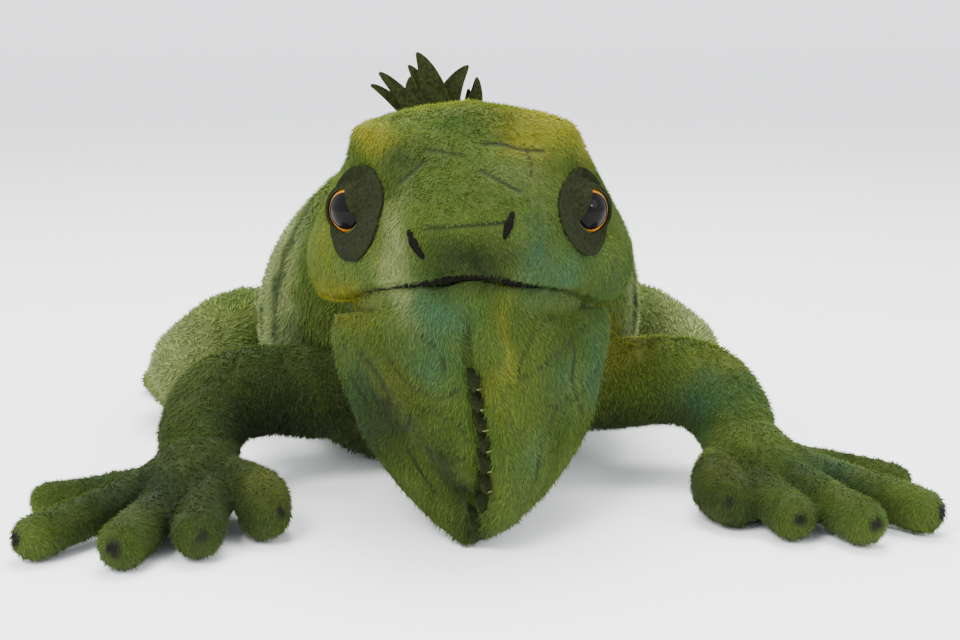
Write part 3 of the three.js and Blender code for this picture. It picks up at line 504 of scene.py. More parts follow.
ARM = [(48, -56, 42), (72, -62, 45), (98, -67, 48), (119, -75, 45), (128, -92, 34), (129, -104, 27)]
ARM_RADII = [20, 22, 21.5, 21.5, 19.5, 17]
FINGERS = {
    "left": [([(112, -126, 17), (107, -150, 15), (110, -162, 13)], (10.5, 13, 12)),
             ([(124, -128, 16), (126, -160, 14), (130, -184, 11)], (10, 9.6, 10)),
             ([(138, -130, 17), (148, -166, 14), (158, -195, 11)], (10, 9.8, 10)),
             ([(150, -124, 16), (170, -155, 14), (190, -182, 11)], (10, 9.8, 10)),
             ([(154, -112, 15), (180, -122, 12), (196, -132, 10)], (9.5, 9, 8.8))],
    "right": [([(-112, -126, 19), (-100, -142, 17), (-98, -157, 13)], (11, 11.5, 11.5)),
              ([(-122, -130, 18), (-124, -158, 15), (-126, -179, 12)], (10.5, 10.3, 10.8)),
              ([(-136, -130, 17), (-147, -162, 13), (-156, -188, 11)], (10.5, 9.8, 10.4)),
              ([(-150, -124, 16), (-172, -148, 13), (-194, -172, 10.5)], (10, 9.2, 9.6)),
              ([(-152, -112, 14), (-176, -112, 11), (-196, -114, 9.5)], (9.5, 8.6, 8.6))],
}
forelegs, hands = {}, {}
for side, sign in (("left", 1), ("right", -1)):
    sleeve = limb(mirrored(ARM, sign), ARM_RADII, count=36, around=28)
    forelegs[side] = remeshed(closed_piece(f"{side}_foreleg_cover", sleeve), 3.2)
    palm = limb(mirrored([(127, -97, 28), (129, -112, 23), (132, -126, 19), (134, -136, 17)], sign),
                (17, 19, 20, 17), count=16, around=28, flat=0.86)
    spread = egg((sign * 134, -124, 18), (25, 16, 13.5))
    digits = [limb(path, radii, count=18, around=18) for path, radii in FINGERS[side]]
    hands[side] = new_piece(f"{side}_hand_cover", *together(palm, spread, *digits))
    remeshed(hands[side], 2.2, relax=5)
    print(side, "foreleg", len(forelegs[side].data.vertices), "hand", len(hands[side].data.vertices))


# %% the hind legs and the tail
THIGH = [(60, 92, 50), (83, 88, 48), (114, 72, 48), (137, 61, 35)]
SHIN = [(139, 64, 29), (148, 84, 23), (145, 110, 17)]
TOES = [
    [(134, 134, 10), (126, 150, 9), (118, 164, 7.2)], [(142, 138, 10), (138, 158, 9), (133, 177, 7.2)],
    [(149, 138, 10), (149, 160, 9), (148, 181, 7.2)], [(155, 135, 10), (159, 155, 9), (162, 173, 7.2)],
    [(158, 128, 10), (166, 142, 8), (171, 156, 7.2)],
]
hindlegs = {}
for side, sign in (("left", 1), ("right", -1)):
    shapes = [limb(mirrored(THIGH, sign), (24, 26, 27, 25.5), count=24, around=28),
              limb(mirrored(SHIN, sign), (22, 18.5, 14.5), count=20, around=24),
              egg((sign * 147, 128, 12), (18, 20, 11))]
    shapes += [limb(mirrored(toe, sign), (6.8, 6.4, 6.6), count=12, around=14) for toe in TOES]
    hindlegs[side] = remeshed(new_piece(f"{side}_hindleg_cover", *together(*shapes)), 3.0)
    stuffed(hindlegs[side], cap=2.0)

share = np.linspace(0, 1, 16)
tail_radius = 23 + (5 - 23) * share**0.8
drop = smooth_step(share, 0, 0.35)
tail_path = np.column_stack([120 * share**2.2, 164 + 335 * 0.93 * share,
                             np.maximum(33 + (tail_radius - 33) * drop, tail_radius)])
base_rows = 6  # rows of the path in the base's skin; the tip's skin starts from the last of them
stump = limb(tail_path[:base_rows], tail_radius[:base_rows], count=40, around=28)
tail_base = remeshed(closed_piece("tail_base_cover", stump), 3.2)
taper = limb(tail_path[base_rows - 1:], tail_radius[base_rows - 1:], count=46, around=24)
tail_tip = remeshed(closed_piece("tail_tip_cover", taper), 2.4, relax=3)
print("hind leg", len(hindlegs["left"].data.vertices),
      "tail", len(tail_base.data.vertices), len(tail_tip.data.vertices))


# %% [markdown]
# ## The dewlap
# A leaf-shaped bib hangs from the lower lip to the ground. It is two plush halves with a seam in
# front, and the left half, seen from in front, is folded over itself. One surface through seven
# rows of nine points gives the leaf, and the folds are added as smooth waves.

# %% dewlap
DEWLAP_ROWS = np.array([
    [(-66, -136, 97), (-53, -152, 99), (-40, -171, 107), (-26, -186, 114), (-12, -194, 119),
     (2, -188, 116),
     (20, -172, 109), (37, -152, 100), (56, -136, 97)],
    [(-67, -137, 84), (-54, -155, 88), (-41, -173, 94), (-27, -186, 99), (-12.5, -192, 102),
     (2, -189, 100),
     (20, -176, 95), (38, -157, 89), (57, -138, 84)],
    [(-63, -141, 66), (-50, -156, 68), (-38, -168, 71), (-25, -180, 73), (-12, -187, 74), (2, -188, 73),
     (18, -179, 71), (36, -160, 68), (53, -141, 66)],
    [(-54, -146, 44), (-44, -158, 45), (-33, -168, 47), (-21, -178, 48), (-9, -185, 49), (2, -189, 49),
     (16, -182, 47), (31, -166, 45), (46, -147, 44)],
    [(-41, -153, 24), (-34, -162, 25), (-26, -170, 26), (-17, -178, 27), (-8, -183, 27), (0, -187, 27),
     (10, -183, 26), (20, -172, 25), (31, -156, 24)],
    [(-26, -163, 9), (-22, -168, 9), (-18, -173, 10), (-14, -178, 10), (-9, -181, 10), (-5, -183, 10),
     (0, -180, 10), (6, -174, 9), (12, -166, 9)],
    [(-17, -172, 3), (-16, -174, 2.6), (-15, -175, 2.3), (-14, -177, 2.2), (-12, -178, 2.2),
     (-11, -178, 2.2),
     (-10, -177, 2.3), (-9, -175, 2.6), (-8, -173, 3)],
])


SEAM = ([2, 10, 27, 49, 74, 102, 119], [-12, -8, -3, -3.5, -8, -11, -12])  # heights, and x there


def line_distance(points, start, end):
    """Distance of points from a line between two points, all given as x and z."""
    start, end = np.array(start, float), np.array(end, float)
    along = end - start
    t = np.clip(((points - start) @ along) / (along @ along), 0, 1)
    return np.linalg.norm(points - start - t[:, None] * along, axis=1)


def dewlap_sheet(down=90, across=96):
    """The leaf, as rows down and points across, with its folds moved along -Y."""
    rows = through_rows(DEWLAP_ROWS, down)
    sheet = np.moveaxis(through_rows(np.moveaxis(rows, 1, 0), across), 0, 1).reshape(-1, 3)
    xz = sheet[:, [0, 2]]
    fold = line_distance(xz, (-66, 92), (-16, 34))
    below = (xz[:, 1] - 92) * 50 + (xz[:, 0] + 66) * 58 < 0
    forward = 7.5 * np.exp(-(fold / 6.0) ** 2) - 7.5 * np.exp(-((fold - 9) / 7.0) ** 2) * below
    off = xz[:, 0] - np.interp(xz[:, 1], *SEAM)
    held = smooth_step(xz[:, 1], 2, 14) * (1 - smooth_step(xz[:, 1], 92, 112))
    forward += held * (7.0 * np.exp(-((off - 6.5) / 5.0) ** 2) - 5.0 * np.exp(-((off + 1.5) / 3.6) ** 2))
    hollow = line_distance(xz, (-24, 36), (-16, 12))
    forward -= 3.0 * np.exp(-(hollow / 8.0) ** 2)
    sheet[:, 1] -= forward
    return sheet.reshape(down, across, 3)


def thick_sheet(sheet, thickness):
    """A closed pad round a grid of points: the front, and the back moved in by the thickness, as
    rings that run across the front and back again behind."""
    over = np.gradient(sheet, axis=0)
    across = np.gradient(sheet, axis=1)
    inward = unit(np.cross(over, across))
    inward *= np.sign(inward[..., 1:2].mean() + 1e-9)
    back = sheet + inward * thickness
    return closed_tube(np.concatenate([sheet, back[:, ::-1]], axis=1))


dewlap = closed_piece("dewlap_cover", thick_sheet(dewlap_sheet(), 5.0))
print("dewlap_cover", len(dewlap.data.vertices))


# %% [markdown]
# ## Dye and painted shade
# The cloth is plain plush, and a maker has sprayed dye over it by hand: yellow on the brows, teal
# on the cheek and wrists, brown bars down the flanks, near-black claws. The dark dye also paints
# shade beside and under the arms, low on the chest, under the brows and in the dewlap's fold. Each
# spot is soft about a centre, so the colour at any place is worked out from its distance to each
# spot. It is kept on the points of a mesh as attributes, which stay with the cloth when it bends.

# %% spots of each dye and of the painted shade: the centre (x, y, z), the three radii, the strength
YELLOW, TEAL, DARK_AND_SHADE, PALE = range(4)
DYE_AND_SHADE_SPOTS = {
    YELLOW: [
        (30, -140, 184, 24, 26, 13, 1.0), (44, -135, 176, 13, 16, 12, 0.75),
        (-56, -135, 181, 13, 18, 11, 0.85), (14, -152, 170, 13, 12, 10, 0.75),
        (-44, -140, 172, 9, 12, 12, 0.4), (-62, -130, 104, 15, 30, 11, 0.8),
        (2, -186, 88, 5, 12, 26, 0.55), (74, -70, 66, 22, 20, 16, 0.45),
        (-20, -120, 188, 26, 12, 8, 0.3), (-66, -128, 134, 8, 20, 16, 0.3),
        (108, -150, 24, 14, 16, 10, 0.25), (-98, -150, 24, 14, 16, 10, 0.3),
        (-44, -165, 70, 12, 14, 10, 0.3), (128, -74, 56, 22, 16, 10, 0.5),
    ],
    TEAL: [
        (14, -182, 128, 13, 16, 17, 0.9), (30, -172, 118, 12, 14, 10, 0.8),
        (40, -160, 128, 12, 16, 14, 0.35), (-26, -186, 104, 18, 14, 13, 0.75),
        (-30, -180, 82, 16, 14, 12, 0.6), (-58, -150, 62, 15, 18, 22, 0.6),
        (34, -165, 72, 16, 16, 16, 0.45), (50, -145, 70, 10, 14, 26, 0.6),
        (16, -182, 38, 12, 12, 18, 0.4), (118, -90, 42, 20, 15, 14, 0.95),
        (128, -104, 26, 20, 12, 14, 0.6), (-122, -96, 38, 20, 14, 12, 0.45),
        (158, -150, 22, 16, 18, 9, 0.6), (-150, -148, 22, 16, 18, 9, 0.4),
        (-56, -150, 120, 9, 16, 14, 0.25), (56, -140, 112, 14, 26, 16, 0.3),
        (-60, 20, 20, 40, 60, 18, 0.6), (60, 20, 20, 40, 60, 18, 0.6),
    ],
    # Painted shade for most of these: dark spots where shade falls, on the arms beside the body, low on
    # the chest, under the brows, and in the dewlap's fold and the hollow below it. The rest darken the
    # snout, the hands and the dewlap's foot.
    DARK_AND_SHADE: [
        (-13, -195, 128, 23, 14, 9, 0.92), (-14, -194, 118, 24, 12, 6, 0.35),
        (-34, -150, 163, 12, 16, 12, 0.45), (-54, -155, 48, 22, 22, 26, 0.5),
        (-18, -180, 26, 16, 14, 16, 0.55), (-12, -180, 8, 14, 12, 7, 0.8),
        (-86, -66, 40, 28, 30, 24, 0.85), (-122, -80, 40, 30, 26, 26, 0.7),
        (80, -70, 26, 40, 30, 14, 0.7), (124, -80, 34, 26, 24, 16, 0.45),
        (-135, -135, 14, 52, 60, 24, 0.62), (135, -135, 12, 50, 60, 18, 0.5),
        (108, -148, 12, 16, 22, 12, 0.45), (0, -60, 20, 90, 60, 22, 0.5),
        (-108, -80, 42, 44, 40, 34, 0.8), (-60, -60, 44, 30, 34, 34, 0.95),
        (-135, -145, 16, 66, 66, 36, 0.72), (106, -150, 14, 20, 26, 20, 0.8),
        (150, -150, 10, 62, 56, 18, 0.5), (40, -142, 160, 6, 14, 13, 0.4),
        (-38, -146, 160, 7, 14, 12, 0.35), (-46, -160, 64, 7, 14, 6, 0.5),
        (-36, -168, 54, 7, 14, 6, 0.5), (-25, -176, 44, 8, 14, 6, 0.5),
        (-52, -158, 58, 19, 22, 26, 0.6), (-26, -176, 30, 20, 18, 22, 0.6),
        (-36, -170, 60, 26, 20, 34, 0.2),
    ],
    PALE: [
        (-41, -172, 128, 6, 20, 22, 1.0), (-36, -178, 108, 6, 14, 10, 0.5),
        (-140, 60, 36, 34, 40, 30, 0.95), (140, 60, 44, 34, 40, 30, 0.95),
        (-78, -20, 90, 24, 12, 50, 0.35), (10, -168, 158, 20, 12, 12, 0.3),
        (60, -110, 128, 12, 20, 22, 0.25), (0, 120, 90, 60, 80, 40, 0.35),
    ],
}
CLAWS = [path[-1] for fingers in FINGERS.values() for path, radii in fingers]


def ripples(points, size, seed=0):
    """A cheap smooth noise from -1 to 1: the mean of six sine waves that run in set directions."""
    rng = np.random.default_rng(seed)
    total = np.zeros(len(points))
    for _ in range(6):
        wave = unit(rng.normal(size=3)) * rng.uniform(0.7, 1.5) * 2 * np.pi / size
        total += np.sin(points @ wave + rng.uniform(0, 2 * np.pi))
    return total / 3


def dye_and_shade_at(points):
    """The four dyes at each place, the dark one with its painted shade: each spot gives strength *
    exp(-1.3 q^2) for q radii from its centre, with its edge made ragged by ripples, and the flanks get
    brown bars across Y."""
    ragged = points + np.stack([ripples(points, 22, k) for k in range(3)], 1) * 2.6
    clear = np.ones((len(points), 4))
    for dye_and_shade, spots_of_kind in DYE_AND_SHADE_SPOTS.items():
        for *spot, strength in spots_of_kind:
            q = np.linalg.norm((ragged - spot[:3]) / spot[3:], axis=1)
            clear[:, dye_and_shade] *= 1 - strength * np.exp(-1.3 * q * q)
    x, y, z = ragged.T
    flank = smooth_step(np.abs(x), 44, 66) * smooth_step(y, -56, -44) * (1 - smooth_step(y, 120, 150))
    flank *= ((1 - smooth_step(np.abs(x), 98, 108)) * smooth_step(z, 18, 40)
              * (1 - smooth_step(z, 118, 150)))
    away = np.abs((y + 42 + 4 * np.sin(z / 17) + 60) % 27 - 13.5)
    bars = 1 - smooth_step(away + 0.8 * ripples(points, 24, 9), 1.6, 6.0)
    clear[:, DARK_AND_SHADE] *= 1 - 0.62 * bars * flank
    clear[:, PALE] *= 1 - 0.5 * (1 - bars) * flank
    return 1 - clear


# %% sewn lines, as x and z seen from the front
QUILTING = [
    [(-2, 172.3), (4.4, 172.3), (13, 170), (24, 169)], [(15.8, 169), (16.7, 164), (16, 159.5)],
    [(-5, 162), (2, 158), (9.7, 154)], [(-27, 170.4), (-12, 168)], [(-38.5, 156.6), (-27.6, 166)],
    [(-31.4, 140.4), (-16.5, 141.4), (2.4, 142.8)],
]
VEINS = [
    [(-33, 96), (-24, 88), (-22, 78)], [(-44, 82), (-36, 72), (-24, 68), (-16, 72)],
    [(-56, 84), (-48, 74), (-44, 66)], [(-60, 70), (-50, 56), (-38, 50), (-36, 60)],
    [(-36, 40), (-30, 30), (-24, 22)], [(-34, 42), (-22, 40), (-14, 42)],
    [(26, 100), (14, 92), (8, 78)], [(44, 92), (30, 84), (18, 78), (8, 76)],
    [(38, 84), (36, 68), (42, 54)], [(30, 62), (20, 48), (18, 30)], [(50, 70), (38, 62), (30, 62)],
    [(-30, 62), (-18, 58), (-12, 50)],
]


def near_lines(points, lines, width):
    """1 on a sewn line, falling to 0 at its width, by distance in x and z."""
    nearest = np.full(len(points), 1e9)
    for line in lines:
        fine = through_rows(line, 14)
        for start, end in zip(fine[:-1], fine[1:]):
            nearest = np.minimum(nearest, line_distance(points[:, [0, 2]], start, end))
    return 1 - smooth_step(nearest, width * 0.3, width)


def claws_at(points):
    """Near-black spots on the upper ends of the fingers."""
    spots = np.zeros(len(points))
    for tip in CLAWS:
        out = unit(np.array(tip) - (np.sign(tip[0]) * 134, -120, 14))
        away = points - (np.array(tip) + out * 8.5 + (0, 0, 2.0))
        q = np.linalg.norm(away, axis=1) + ripples(points, 7, 4)
        spots = np.maximum(spots, 1 - smooth_step(q, 1.8, 4.2))
    return spots


SEWN_WIDTH = 1.1


def keep_numbers(mesh, values):
    """Writes arrays, one number for each point, as named attributes."""
    for name, value in values.items():
        mesh.attributes.new(name, "FLOAT", "POINT").data.foreach_set("value", value.astype(np.float32))


def keep_dye_and_shade(piece, places, lines=None, tips=None, strands=None):
    """Writes the dye with its painted shade, the sewn lines and the fibres' own numbers on the piece's
    points.
    """
    mesh, count = piece.data, len(piece.data.vertices)
    colours = mesh.attributes.new("dye_and_shade", "FLOAT_COLOR", "POINT")
    colours.data.foreach_set("color", dye_and_shade_at(places).astype(np.float32).ravel())
    none = np.zeros(count)
    keep_numbers(mesh, {"sewn": near_lines(places, lines, SEWN_WIDTH) if lines else none,
                        "claw": claws_at(places), "tip": none if tips is None else tips,
                        "strand": none if strands is None else strands})
    spot = mesh.attributes.new("cloth_place", "FLOAT_VECTOR", "POINT")
    spot.data.foreach_set("vector", (places * MM).astype(np.float32).ravel())


# %% [markdown]
# ## Plush
# Plush is a backing cloth with thousands of fine fibres. Hair curves would render well but leave no
# mesh, so each tuft is a slim four-faced needle whose root stands in the skin and whose tip leans
# the way the pile is brushed. Its colour is the dye and painted shade at its root, and a further painted
# shade makes it darker low down, where light fades.

# %% the plush material
def link_up(tree, pairs):
    for source, target in pairs:
        tree.links.new(source, target)


def attribute(tree, name, output):
    node = tree.nodes.new("ShaderNodeAttribute")
    node.attribute_name = name
    return node.outputs[output]


def maths(tree, operation, a, b):
    node = tree.nodes.new("ShaderNodeMath")
    node.operation = operation
    for socket, value in zip(node.inputs, (a, b)):
        if isinstance(value, (int, float)):
            socket.default_value = value
        else:
            tree.links.new(value, socket)
    return node.outputs[0]


def mixed(tree, amount, a, b, blend="MIX"):
    """a mixed with b by amount; colours are tuples or sockets."""
    node = tree.nodes.new("ShaderNodeMix")
    node.data_type, node.blend_type = "RGBA", blend
    for socket, value in ((node.inputs[0], amount), (node.inputs[6], a), (node.inputs[7], b)):
        if isinstance(value, (int, float)):
            socket.default_value = value
        elif isinstance(value, tuple):
            socket.default_value = (*value, 1)
        else:
            tree.links.new(value, socket)
    return node.outputs[2]


def noise(tree, vector, scale, detail=2.0, roughness=0.55):
    node = tree.nodes.new("ShaderNodeTexNoise")
    set_sockets(node, Scale=scale, Detail=detail, Roughness=roughness)
    tree.links.new(vector, node.inputs["Vector"])
    return node.outputs["Fac"]


def ranged(tree, value, low, high, to_low=0.0, to_high=1.0):
    node = tree.nodes.new("ShaderNodeMapRange")
    for socket, number in zip(node.inputs[1:5], (low, high, to_low, to_high)):
        socket.default_value = number
    tree.links.new(value, node.inputs[0])
    return node.outputs[0]


def group(name, inputs, outputs):
    """An empty node group with its sockets, its tree, and its input and output nodes."""
    tree = bpy.data.node_groups.new(name, "ShaderNodeTree")
    for label, kind in inputs:
        tree.interface.new_socket(label, in_out="INPUT", socket_type=kind)
    for label, kind in outputs:
        tree.interface.new_socket(label, in_out="OUTPUT", socket_type=kind)
    return tree, tree.nodes.new("NodeGroupInput"), tree.nodes.new("NodeGroupOutput")


mottle_dye_and_shade, given, result = group(
    "sprayed dye and painted shade",
    [("Place", "NodeSocketVector"), ("Dye_and_shade", "NodeSocketColor"), ("Pale", "NodeSocketFloat")],
    [("Color", "NodeSocketColor")])
place = given.outputs["Place"]
broad = ranged(mottle_dye_and_shade, noise(mottle_dye_and_shade, place, 26, 3), 0.36, 0.66)
patchy = ranged(mottle_dye_and_shade, noise(mottle_dye_and_shade, place, 85, 4, 0.65), 0.35, 0.68)
fine = noise(mottle_dye_and_shade, place, 420, 3, 0.7)
colour = mixed(mottle_dye_and_shade, broad, (0.062, 0.135, 0.010), (0.15, 0.225, 0.026))
colour = mixed(mottle_dye_and_shade, maths(mottle_dye_and_shade, "MULTIPLY", patchy, 0.55), colour, (0.105, 0.135, 0.008))
dyes_and_shade = mottle_dye_and_shade.nodes.new("ShaderNodeSeparateColor")
mottle_dye_and_shade.links.new(given.outputs["Dye_and_shade"], dyes_and_shade.inputs[0])
# The third tint is the dark dye's, which also paints the shade.
DYE_AND_SHADE_TINTS = [(dyes_and_shade.outputs[0], (0.40, 0.38, 0.018)), (dyes_and_shade.outputs[1], (0.062, 0.175, 0.085)),
         (given.outputs["Pale"], (0.36, 0.42, 0.15)), (dyes_and_shade.outputs[2], (0.007, 0.013, 0.0012))]
for source, tint in DYE_AND_SHADE_TINTS:
    uneven = maths(mottle_dye_and_shade, "MULTIPLY", source, ranged(mottle_dye_and_shade, fine, 0.25, 0.6, 0.72, 1.08))
    colour = mixed(mottle_dye_and_shade, maths(mottle_dye_and_shade, "MINIMUM", uneven, 1.0), colour, tint)
mottle_dye_and_shade.links.new(colour, result.inputs[0])


def plush_material(name, root, tip, sheen):
    """Dyed pile with painted shade. root and tip scale its colour at a fibre's ends, a painted shade that
    is darker at the root.
    """
    material, tree, shader = new_material(name)
    place = attribute(tree, "cloth_place", "Vector")
    dyed_and_shaded = tree.nodes.new("ShaderNodeGroup")
    dyed_and_shaded.node_tree = mottle_dye_and_shade
    dye_and_shade = tree.nodes.new("ShaderNodeAttribute")
    dye_and_shade.attribute_name = "dye_and_shade"
    link_up(tree, [(place, dyed_and_shaded.inputs["Place"]), (dye_and_shade.outputs["Color"], dyed_and_shaded.inputs["Dye_and_shade"]),
                   (dye_and_shade.outputs["Alpha"], dyed_and_shaded.inputs["Pale"])])
    colour = mixed(tree, maths(tree, "MULTIPLY", attribute(tree, "sewn", "Fac"), 0.85),
                   dyed_and_shaded.outputs[0], (0.02, 0.03, 0.006))
    colour = mixed(tree, attribute(tree, "claw", "Fac"), colour, (0.012, 0.008, 0.006))
    shade = ranged(tree, attribute(tree, "tip", "Fac"), 0, 1, root, tip)
    own = ranged(tree, attribute(tree, "strand", "Fac"), 0, 1, 0.78, 1.22)
    light = tree.nodes.new("ShaderNodeCombineColor")
    amount = maths(tree, "MULTIPLY", shade, own)
    link_up(tree, [(amount, light.inputs[k]) for k in range(3)])
    colour = mixed(tree, 1.0, colour, light.outputs[0], "MULTIPLY")
    bump = tree.nodes.new("ShaderNodeBump")
    set_sockets(bump, Strength=0.35, Distance=0.0008)
    rough = ranged(tree, noise(tree, place, 300, 2), 0.3, 0.7, 0.82, 1.0)
    link_up(tree, [(noise(tree, place, 900, 2), bump.inputs["Height"]),
                   (colour, shader.inputs["Base Color"]),
                   (bump.outputs[0], shader.inputs["Normal"]), (rough, shader.inputs["Roughness"])])
    set_sockets(shader, Sheen_Weight=sheen, Sheen_Roughness=0.5, Sheen_Tint=(0.75, 0.9, 0.6, 1),
                Specular_IOR_Level=0.15)
    return material


# The backing lies at the fibres' roots and takes their painted shade all over.
skin_finish = plush_material("plush backing", 0.30, 0.30, 0.03)
pile_finish = plush_material("plush pile", 0.27, 0.80, 0.03)
print("plush ready")


# %% fibres
def triangles_of(mesh):
    mesh.calc_loop_triangles()
    found = np.empty(len(mesh.loop_triangles) * 3, np.int32)
    mesh.loop_triangles.foreach_get("vertices", found)
    return found.reshape(-1, 3)


def brushed(points, normal):
    """The way the pile lies: down the face and the limbs, backwards on the body, with swirls."""
    rear = smooth_step(points[:, 1], -50, 0)[:, None]
    way = (1 - rear) * np.array([0, -0.35, -1.0]) + rear * np.array([0, 1.0, -0.35])
    swirl = np.stack([ripples(points, 34, 20 + k) for k in range(3)], 1)
    way = way + 0.55 * swirl + 0.3 * np.stack([ripples(points, 9, 30 + k) for k in range(3)], 1)
    way = way - normal * np.einsum("ij,ij->i", way, normal)[:, None]
    return unit(way)


def mesh_of_needles(name, corners):
    """A mesh of four-faced needles from (count, 4, 3) corners: three at the root, then the tip. Its
    map gives each needle a cell of its own."""
    count = len(corners)
    mesh = bpy.data.meshes.new(name)
    mesh.vertices.add(count * 4)
    mesh.vertices.foreach_set("co", (corners * MM).astype(np.float32).ravel())
    pattern = np.array([[0, 1, 3], [1, 2, 3], [2, 0, 3], [0, 2, 1]])
    index = (np.arange(count)[:, None, None] * 4 + pattern).reshape(-1).astype(np.int32)
    mesh.loops.add(len(index))
    mesh.loops.foreach_set("vertex_index", index)
    mesh.polygons.add(count * 4)
    mesh.polygons.foreach_set("loop_start", np.arange(0, len(index), 3, dtype=np.int32))
    mesh.polygons.foreach_set("use_smooth", np.ones(count * 4, bool))
    cells = int(np.ceil(np.sqrt(count)))
    cell = np.stack([np.arange(count) % cells, np.arange(count) // cells], 1)
    spots = np.array([[0.12, 0.12], [0.88, 0.12], [0.5, 0.45], [0.5, 0.88]])
    uv = (cell[:, None] + spots) / cells
    layer = mesh.uv_layers.new(name="OFBake", do_init=False)
    layer.uv.foreach_set("vector", uv.reshape(-1, 2)[index].astype(np.float32).ravel())
    mesh.update(calc_edges=True)
    return in_scene(name, mesh)


def pile_on(skin, name, count, length=4.0, width=0.62, lean=57, lines=None, thin=None, seed=1):
    """Needles spread evenly over a skin by the area of its triangles, thinned where thin says."""
    rng = np.random.default_rng(seed)
    points, normal = positions(skin), normals(skin)
    tri = triangles_of(skin.data)
    a, b, c = (points[tri[:, k]] for k in range(3))
    area = np.linalg.norm(np.cross(b - a, c - a), axis=1)
    middle = (a + b + c) / 3
    if thin is not None:
        area = area * thin(middle, normal[tri].mean(1))
    pick = rng.choice(len(tri), count, p=area / area.sum())
    u, v = rng.random((2, count))
    u, v = np.where(u + v > 1, 1 - u, u), np.where(u + v > 1, 1 - v, v)
    weights = np.stack([1 - u - v, u, v], 1)
    root = np.einsum("ij,ijk->ik", weights, points[tri[pick]])
    out = unit(np.einsum("ij,ijk->ik", weights, normal[tri[pick]]))
    tilt = np.radians(rng.normal(lean, 9, count))[:, None]
    way = brushed(root, out)
    across = np.cross(out, way)
    way = unit(way + across * rng.normal(0, 0.3, (count, 1)))
    long = length * rng.uniform(0.65, 1.15, (count, 1))
    if lines:
        long *= 1 - 0.75 * near_lines(root, lines, SEWN_WIDTH)[:, None]
    tip = root + (out * np.cos(tilt) + way * np.sin(tilt)) * long
    tip[:, 2] = np.maximum(tip[:, 2], 0.4)
    side = unit(np.cross(way, out))
    wide = width * rng.uniform(0.7, 1.2, (count, 1))
    low = root - out * 0.5
    low[:, 2] = np.maximum(low[:, 2], 0.6)
    corners = np.stack([low - side * wide / 2, low + side * wide / 2,
                        low + out * wide * 0.6 + way * 0.1, tip], 1)
    piece = mesh_of_needles(name, corners)
    piece.data.materials.append(pile_finish)
    keep_dye_and_shade(piece, np.repeat(root, 4, 0), lines, np.tile([0, 0, 0, 1.0], count),
             np.repeat(rng.random(count), 4))
    return piece


# %% [markdown]
# ## Opening, eyes and felt
# The hand goes in through an oval hole in the belly, bound with a rolled hem, and up a glove of
# thin cotton. The tunnel is cut as far as the neck's ball, which is left whole. Each eye is a
# plastic dome with an amber ring, set in a patch of dark felt that laps
# over the upper inner side of the dome, so the puppet frowns.

# %% small materials
def grainy(name, dark, light, scale, roughness, bump):
    """A matt material whose colour wanders between two by a noise, with a bump from a finer one."""
    material, tree, shader = new_material(name)
    place = tree.nodes.new("ShaderNodeTexCoord").outputs["Object"]
    tone = ranged(tree, noise(tree, place, scale, 4, 0.65), 0.32, 0.68)
    relief = tree.nodes.new("ShaderNodeBump")
    set_sockets(relief, Strength=bump, Distance=0.0006)
    rough = ranged(tree, noise(tree, place, scale * 0.7, 2), 0.3, 0.7, roughness - 0.08, roughness + 0.06)
    link_up(tree, [(noise(tree, place, scale * 3, 3, 0.7), relief.inputs["Height"]),
                   (relief.outputs[0], shader.inputs["Normal"]), (rough, shader.inputs["Roughness"]),
                   (mixed(tree, tone, dark, light), shader.inputs["Base Color"])])
    set_sockets(shader, Specular_IOR_Level=0.08)
    return material


def woven(name, warp, weft, threads):
    """Cotton: two sets of fine waves crossed, whose product gives the bump and the shade."""
    material = grainy(name, warp, weft, 60, 0.9, 0.3)
    tree = material.node_tree
    place = tree.nodes.new("ShaderNodeTexCoord").outputs["Object"]
    waves = []
    for direction in ("X", "Y"):
        wave = tree.nodes.new("ShaderNodeTexWave")
        wave.bands_direction = direction
        set_sockets(wave, Scale=threads, Distortion=0.6)
        tree.links.new(place, wave.inputs["Vector"])
        waves.append(wave.outputs["Fac"])
    cloth = maths(tree, "MULTIPLY", *waves)
    relief = next(node for node in tree.nodes if node.bl_idname == "ShaderNodeBump")
    tree.links.new(cloth, relief.inputs["Height"])
    base = tree.nodes["Principled BSDF"].inputs["Base Color"]
    shaded = mixed(tree, ranged(tree, cloth, 0, 1, 0.35, 0), base.links[0].from_socket,
                   (0.02, 0.03, 0.01))
    tree.links.new(shaded, base)
    return material


felt = grainy("dark felt", (0.0035, 0.0045, 0.0012), (0.014, 0.0175, 0.0055), 700, 0.97, 0.6)
crest_felt = grainy("crest felt", (0.006, 0.009, 0.002), (0.024, 0.031, 0.008), 600, 0.96, 0.6)
chenille = grainy("black chenille", (0.001, 0.0008, 0.0005), (0.004, 0.0028, 0.002), 900, 0.95, 0.6)
pale_thread = grainy("pale thread", (0.10, 0.14, 0.05), (0.24, 0.28, 0.12), 900, 0.8, 0.4)
board_finish = grainy("fibre board", (0.16, 0.11, 0.06), (0.26, 0.19, 0.11), 300, 0.85, 0.3)
washer_finish = grainy("washer plastic", (0.62, 0.62, 0.60), (0.72, 0.72, 0.70), 120, 0.4, 0.05)
cotton = woven("glove cotton", (0.05, 0.075, 0.02), (0.075, 0.11, 0.03), 260)
mouth_cloth = woven("mouth cloth", (0.16, 0.03, 0.035), (0.24, 0.05, 0.055), 300)
print("felt, chenille, thread, board, plastic and cotton ready")


# %% ring shapes
def ring_shape(grid):
    """Points and faces of a grid (rows, around, 3) that joins up both ways, as a loop of tube does."""
    grid = np.asarray(grid, float)
    rows, around = grid.shape[:2]
    i, j = np.meshgrid(np.arange(rows), np.arange(around), indexing="ij")
    n, k = (i + 1) % rows, (j + 1) % around
    quads = np.stack([i * around + j, i * around + k, n * around + k, n * around + j], -1)
    return grid.reshape(-1, 3), quads.reshape(-1, 4).tolist()


